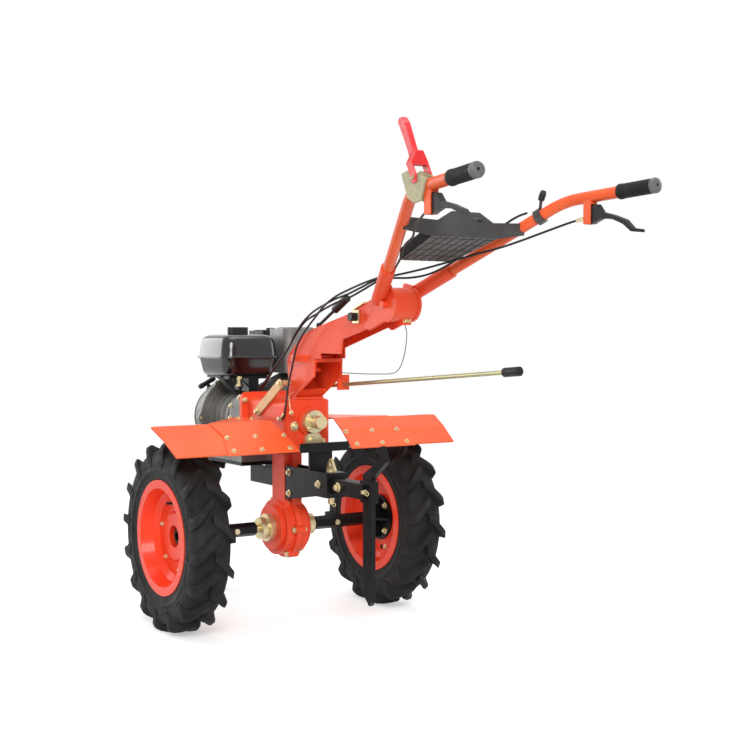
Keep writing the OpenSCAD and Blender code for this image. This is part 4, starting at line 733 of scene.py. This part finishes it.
def eared_ring(y, inner, outer, thick, ears=0, ear_r=0.0):
    """Flat ring about the crankshaft whose outer edge swells to ears."""
    rings = []
    for a in turns(RING_STEPS):
        rim = outer + max(0.0, math.cos(ears * a)) ** EAR_SHARPNESS * ear_r
        section = ((inner, y + thick), (rim, y + thick), (rim, y), (inner, y))
        rings.append([at(*about_crank(r, a, place)) for r, place in section])
    return lattice(rings, loop=True)


def rib(y):
    rings = [[at(*about_crank(r, math.radians(d), y + dy)) for r, dy in RIB_SECTION] for d in RIB_DEGREES]
    return lattice(rings, capped=True)


engine = [eared_ring(*RIM_RING, EARS, EAR_R), eared_ring(*INNER_RING),
          plate(SIDE_COVER, LEFT, SIDE_COVER_THICK)]
engine += [rib(y) for y in RIB_PLACES]
piece("engine_castings", engine, "engine_alloy", "chassis")
tank_strap = strap(smooth_route(STRAP_ROUTE, STRAP_STEPS), STRAP_W, STRAP_THICK)
piece("tank_strap", [tank_strap], "dark_metal", "chassis")
engine_bolts = []
for a in turns(EARS):
    engine_bolts += bolt(about_crank(EAR_BOLT_R, a, RIM_RING[0]), BACK, flats=7, height=4, washer=False)
for centre in SIDE_COVER_BOLTS:
    engine_bolts += bolt(centre, LEFT, flats=8, height=5)
engine_bolts.append(spun(TAP_PROFILE, TAP_STEPS, TAP_AT, TAP_AXIS))
piece("fasteners_engine", engine_bolts, "zinc_plate", "chassis")
piece("fuel_hose", [tube(smooth_route(HOSE_ROUTE, CURVE_STEPS), HOSE_R)], "black_plastic", "chassis")

# Engine fittings: louvred silencer guard, filter knob and clips, head cover, plug boot, starter grip

# Places along a hood from end to end, and its share of the full section there
HOOD_STATIONS = [(-1.0, 0.1), (-0.88, 0.75), (-0.6, 1.0), (0.6, 1.0), (0.88, 0.75), (1.0, 0.1)]
HOOD_STEPS = 8


def louvre(centre, out, length, half=4.5, height=4.0):
    """Pressed hood of a slot, long ahead and standing out of a face."""
    run, out = Vector(AHEAD), Vector(out)
    up = out.cross(run)
    rings = []
    for place, share in HOOD_STATIONS:
        middle = Vector(centre) + run * place * length / 2
        rings.append([at(*(middle + up * half * math.cos(a) * share + out * height * math.sin(a) * share))
                      for a in (math.pi * k / HOOD_STEPS for k in range(HOOD_STEPS + 1))])
    return lattice(rings, capped=True)


SILENCER_RIGHT, SILENCER_TOP, SILENCER_Y = 190.0, 756.4, 170.0
SIDE_LOUVRES_Y, SIDE_LOUVRES_Z, SIDE_LOUVRE = (SILENCER_Y - 26, SILENCER_Y + 26), (686, 701, 716, 731), 40
TOP_LOUVRES_X, TOP_LOUVRE = (94, 112, 130, 148, 166), 74
OUTLET_AT, OUTLET_AXIS, OUTLET_STEPS = (SILENCER_RIGHT, SILENCER_Y, 658), (1, -0.2, -0.15), 28
OUTLET_PROFILE = [(15, -2), (15, 2), (11, 3), (11, 24), (10, 25), (8.8, 25), (8.6, 12), (0.5, 11)]
guard = [louvre((SILENCER_RIGHT, y, z), RIGHT, SIDE_LOUVRE) for y in SIDE_LOUVRES_Y for z in SIDE_LOUVRES_Z]
guard += [louvre((x, SILENCER_Y, SILENCER_TOP), UP, TOP_LOUVRE) for x in TOP_LOUVRES_X]
guard.append(spun(OUTLET_PROFILE, OUTLET_STEPS, OUTLET_AT, OUTLET_AXIS))
piece("silencer_guard", guard, "dark_metal", "chassis", look=SILENCER_GREY)

FILTER_X, FILTER_Y, FILTER_TOP = 125.0, 304.0, 750.4
KNOB_STEPS = 18
KNOB_PROFILE = [(19, 0), (19, 1.5), (15, 2.5), (14, 6.5), (11, 8), (2, 8.5)]
FILTER_RIBS_X, FILTER_RIB_L, FILTER_RIB_HALF, FILTER_RIB_H = (FILTER_X - 34, FILTER_X + 34), 84, 5.0, 2.5
FILTER_CLIPS_Y, FILTER_CLIP_HALF = (FILTER_Y - 32, FILTER_Y + 32), 5
FILTER_CLIP = [(180.6, 682), (184.5, 690), (184.5, 700), (182, 707), (177, 714), (174.6, 722), (176.5, 727)]
knob = [spun(KNOB_PROFILE, KNOB_STEPS, (FILTER_X, FILTER_Y, FILTER_TOP), UP)]
knob += [louvre((x, FILTER_Y, FILTER_TOP), UP, FILTER_RIB_L, FILTER_RIB_HALF, FILTER_RIB_H)
         for x in FILTER_RIBS_X]
piece("filter_knob", knob, "black_plastic", "chassis")
filter_clips = []
for middle in FILTER_CLIPS_Y:
    for y in (middle - FILTER_CLIP_HALF, middle + FILTER_CLIP_HALF):
        bent = [(x, y, z) for x, z in FILTER_CLIP]
        filter_clips.append(tube(smooth_route(bent, CLIP_STEPS), CLIP_R, THIN_SIDES))
piece("filter_clips", filter_clips, "zinc_plate", "chassis")

HEAD_TILT, HEAD_Y, HEAD_REACH = math.radians(25), 192, 170
HEAD_OUT = Vector((math.cos(HEAD_TILT), 0, math.sin(HEAD_TILT)))
HEAD_UP = Vector((-math.sin(HEAD_TILT), 0, math.cos(HEAD_TILT)))
HEAD_END = Vector((0, HEAD_Y, CRANK_Z)) + HEAD_OUT * HEAD_REACH
HEAD_BOLTS = ((-30, 46), (46, 46), (-30, -46), (46, -46))
BOSS_H, BOSS_STEPS = 6.5, 20
BOSS_PROFILE = [(8, 0), (8, 5), (7, BOSS_H)]
COVER_AHEAD, COVER_HALF_L, COVER_HALF_H, COVER_CORNER, COVER_LEAST = 8, 40, 44, 14, 4
# Steps in from the cover's outline and heights over the head
COVER_PROFILE = [(-4, 0), (-4, 3.5), (-3.2, 4.2), (0, 4.4), (0.6, 12), (2.2, 16), (5.5, 18.6), (11, 19.4),
                 (24, 19.6)]
BOOT_AT, BOOT_LEAN, FITTING_STEPS = (-47, 6), -0.25, 24
BOOT_PROFILE = [(9, -3), (9, 2), (7, 4), (7, 16), (8.5, 18), (8.5, 30), (6, 34), (3, 35)]


def on_head(ahead, up, out=0.0):
    """Place on the end of the cylinder head, out of its face."""
    return tuple(HEAD_END + Vector((0, ahead, 0)) + HEAD_UP * up + HEAD_OUT * out)


cover = []
for inset, out in COVER_PROFILE:
    corner = max(COVER_CORNER - inset / 2, COVER_LEAST)
    outline = round_outline(COVER_HALF_L - inset, COVER_HALF_H - inset, corner)
    cover.append([at(*on_head(COVER_AHEAD + x, y, out)) for x, y in outline])
head = [lattice(cover, capped=True)]
head_bolts = []
for ahead, up in HEAD_BOLTS:
    head.append(spun(BOSS_PROFILE, BOSS_STEPS, on_head(ahead, up), HEAD_OUT))
    head_bolts += bolt(on_head(ahead, up, BOSS_H), HEAD_OUT, flats=8, height=4.5, washer=False)
piece("head_cover", head, "engine_alloy", "chassis")
piece("fasteners_head", head_bolts, "zinc_plate", "chassis")
plug_boot = spun(BOOT_PROFILE, FITTING_STEPS, on_head(*BOOT_AT), (HEAD_OUT.x, BOOT_LEAN, HEAD_OUT.z))
piece("plug_boot", [plug_boot], "black_plastic", "chassis")

STARTER_Y, STARTER_R, STARTER_TURN, STARTER_STEM = 364.0, 84.0, math.radians(118), 21
STEM_PROFILE = [(11, -4), (11, 4), (7.5, 6), (5, 12), (4.5, 19)]
HANDLE_PROFILE = [(3, -28), (6, -27), (7.6, -19), (6.6, -7), (6.8, 0), (6.6, 7), (7.6, 19), (6, 27), (3, 28)]
starter_out = Vector((math.cos(STARTER_TURN), 0, math.sin(STARTER_TURN)))
starter_along = starter_out.cross(Vector(AHEAD))
starter_at = about_crank(STARTER_R, STARTER_TURN, STARTER_Y)
handle_at = about_crank(STARTER_R + STARTER_STEM, STARTER_TURN, STARTER_Y)
starter_grip = [spun(STEM_PROFILE, FITTING_STEPS, starter_at, starter_out),
                spun(HANDLE_PROFILE, FITTING_STEPS, handle_at, starter_along)]
piece("starter_grip", starter_grip, "black_plastic", "chassis")

# Throttle knob and the valves of the tyres

THROTTLE_AT, THROTTLE_AXIS = (164.2, -829.3, 1029.5), (-6, -20, 26)
THROTTLE_PROFILE = [(4, -2), (6.9, 0), (7.4, 6), (7.2, 16), (5.5, 20.5), (2, 22)]
VALVE_FOOT, VALVE_STEPS = 1, 18
VALVE_PROFILE = [(6.6, -3), (6.6, 3), (4.6, 5), (4.4, 16), (3.2, 17), (3.2, 26), (2.4, 27)]
throttle_knob = spun(THROTTLE_PROFILE, FITTING_STEPS, THROTTLE_AT, THROTTLE_AXIS)
piece("throttle_knob", [throttle_knob], "black_plastic", "handlebar")
valves = []
for side, axis in SIDES:
    valve_at = (side * (WHEEL_X + VALVE_FOOT), 0, AXLE_H - side * RIM_BOLT_R)
    valves.append(spun(VALVE_PROFILE, VALVE_STEPS, valve_at, axis))
piece("valves", valves, "grip_rubber", "wheelset")

# Studio: pale floor, white surroundings, a key lamp near the camera, a card ahead, a top light and a fill

WHITE, FLOOR_TONE = rgb(1.0, 1.0, 1.0), rgb(0.86, 0.86, 0.86)
FLOOR_SIZE, FLOOR_ROUGHNESS, FLOOR_GLOW = 40.0, 0.9, 0.42
# Distances from the middle, in metres, between which the floor runs into the surroundings
FADE_RANGE = (1.1, 3.4)
WORLD_LIGHT = 0.52
MIDDLE = (0.0, 0.0, 0.55)
# Place in metres, diameter in metres and power in watts
LAMPS = {
    "key": ((-2.0, -3.4, 2.5), 1.8, 122.0),
    "card": ((-1.7, 3.9, 1.6), 3.0, 66.0),
    "top": ((0.3, 0.2, 4.2), 3.0, 54.0),
    "fill": ((3.6, -0.6, 1.8), 2.4, 36.0),
}


def seen_directly(tree):
    """One for rays from the camera, a reflection or glass, nought for the rays that light surfaces."""
    path = node(tree, "LightPath")
    seen = path.outputs["Is Camera Ray"]
    for kind in ("Is Glossy Ray", "Is Transmission Ray"):
        seen = calculate(tree, "MAXIMUM", seen, path.outputs[kind])
    return seen


floor_mesh = bpy.data.meshes.new("floor")
half = FLOOR_SIZE / 2
corners = [(-half, -half, 0), (half, -half, 0), (half, half, 0), (-half, half, 0)]
floor_mesh.from_pydata(corners, [], [(0, 1, 2, 3)])
floor = bpy.data.objects.new("floor", floor_mesh)
bpy.context.scene.collection.objects.link(floor)
floor_look = bpy.data.materials.new("floor_look")
floor_look.use_nodes = True
tree = floor_look.node_tree
shader = tree.nodes["Principled BSDF"]
shader.inputs["Base Color"].default_value = FLOOR_TONE
shader.inputs["Roughness"].default_value = FLOOR_ROUGHNESS
shader.inputs["Emission Color"].default_value = WHITE
feed(tree, shader.inputs["Emission Strength"], times(tree, seen_directly(tree), FLOOR_GLOW))
far = node(tree, "VectorMath", {"operation": "LENGTH"})
feed(tree, far.inputs[0], node(tree, "TexCoord").outputs["Object"])
glow = node(tree, "Emission", Color=WHITE)
feed(tree, glow.inputs["Strength"], seen_directly(tree))
fade = node(tree, "MixShader")
feed(tree, fade.inputs[0], ramp(tree, far.outputs["Value"], *FADE_RANGE))
feed(tree, fade.inputs[1], shader.outputs["BSDF"])
feed(tree, fade.inputs[2], glow.outputs["Emission"])
feed(tree, tree.nodes["Material Output"].inputs["Surface"], fade.outputs["Shader"])
floor_mesh.materials.append(floor_look)

world = bpy.data.worlds.new("studio")
bpy.context.scene.world = world
world.use_nodes = True
tree = world.node_tree
back = tree.nodes["Background"]
back.inputs["Color"].default_value = WHITE
feed(tree, back.inputs["Strength"], ramp(tree, seen_directly(tree), 0.0, 1.0, WORLD_LIGHT, 1.0))

for name, (where, size, watts) in LAMPS.items():
    lamp = bpy.data.objects.new(name, bpy.data.lights.new(name, "AREA"))
    lamp.data.shape = "DISK"
    lamp.data.size = size
    lamp.data.energy = watts
    lamp.location = where
    lamp.rotation_euler = (Vector(MIDDLE) - Vector(where)).to_track_quat("-Z", "Y").to_euler()
    bpy.context.scene.collection.objects.link(lamp)

bpy.context.scene.view_settings.view_transform = "Standard"
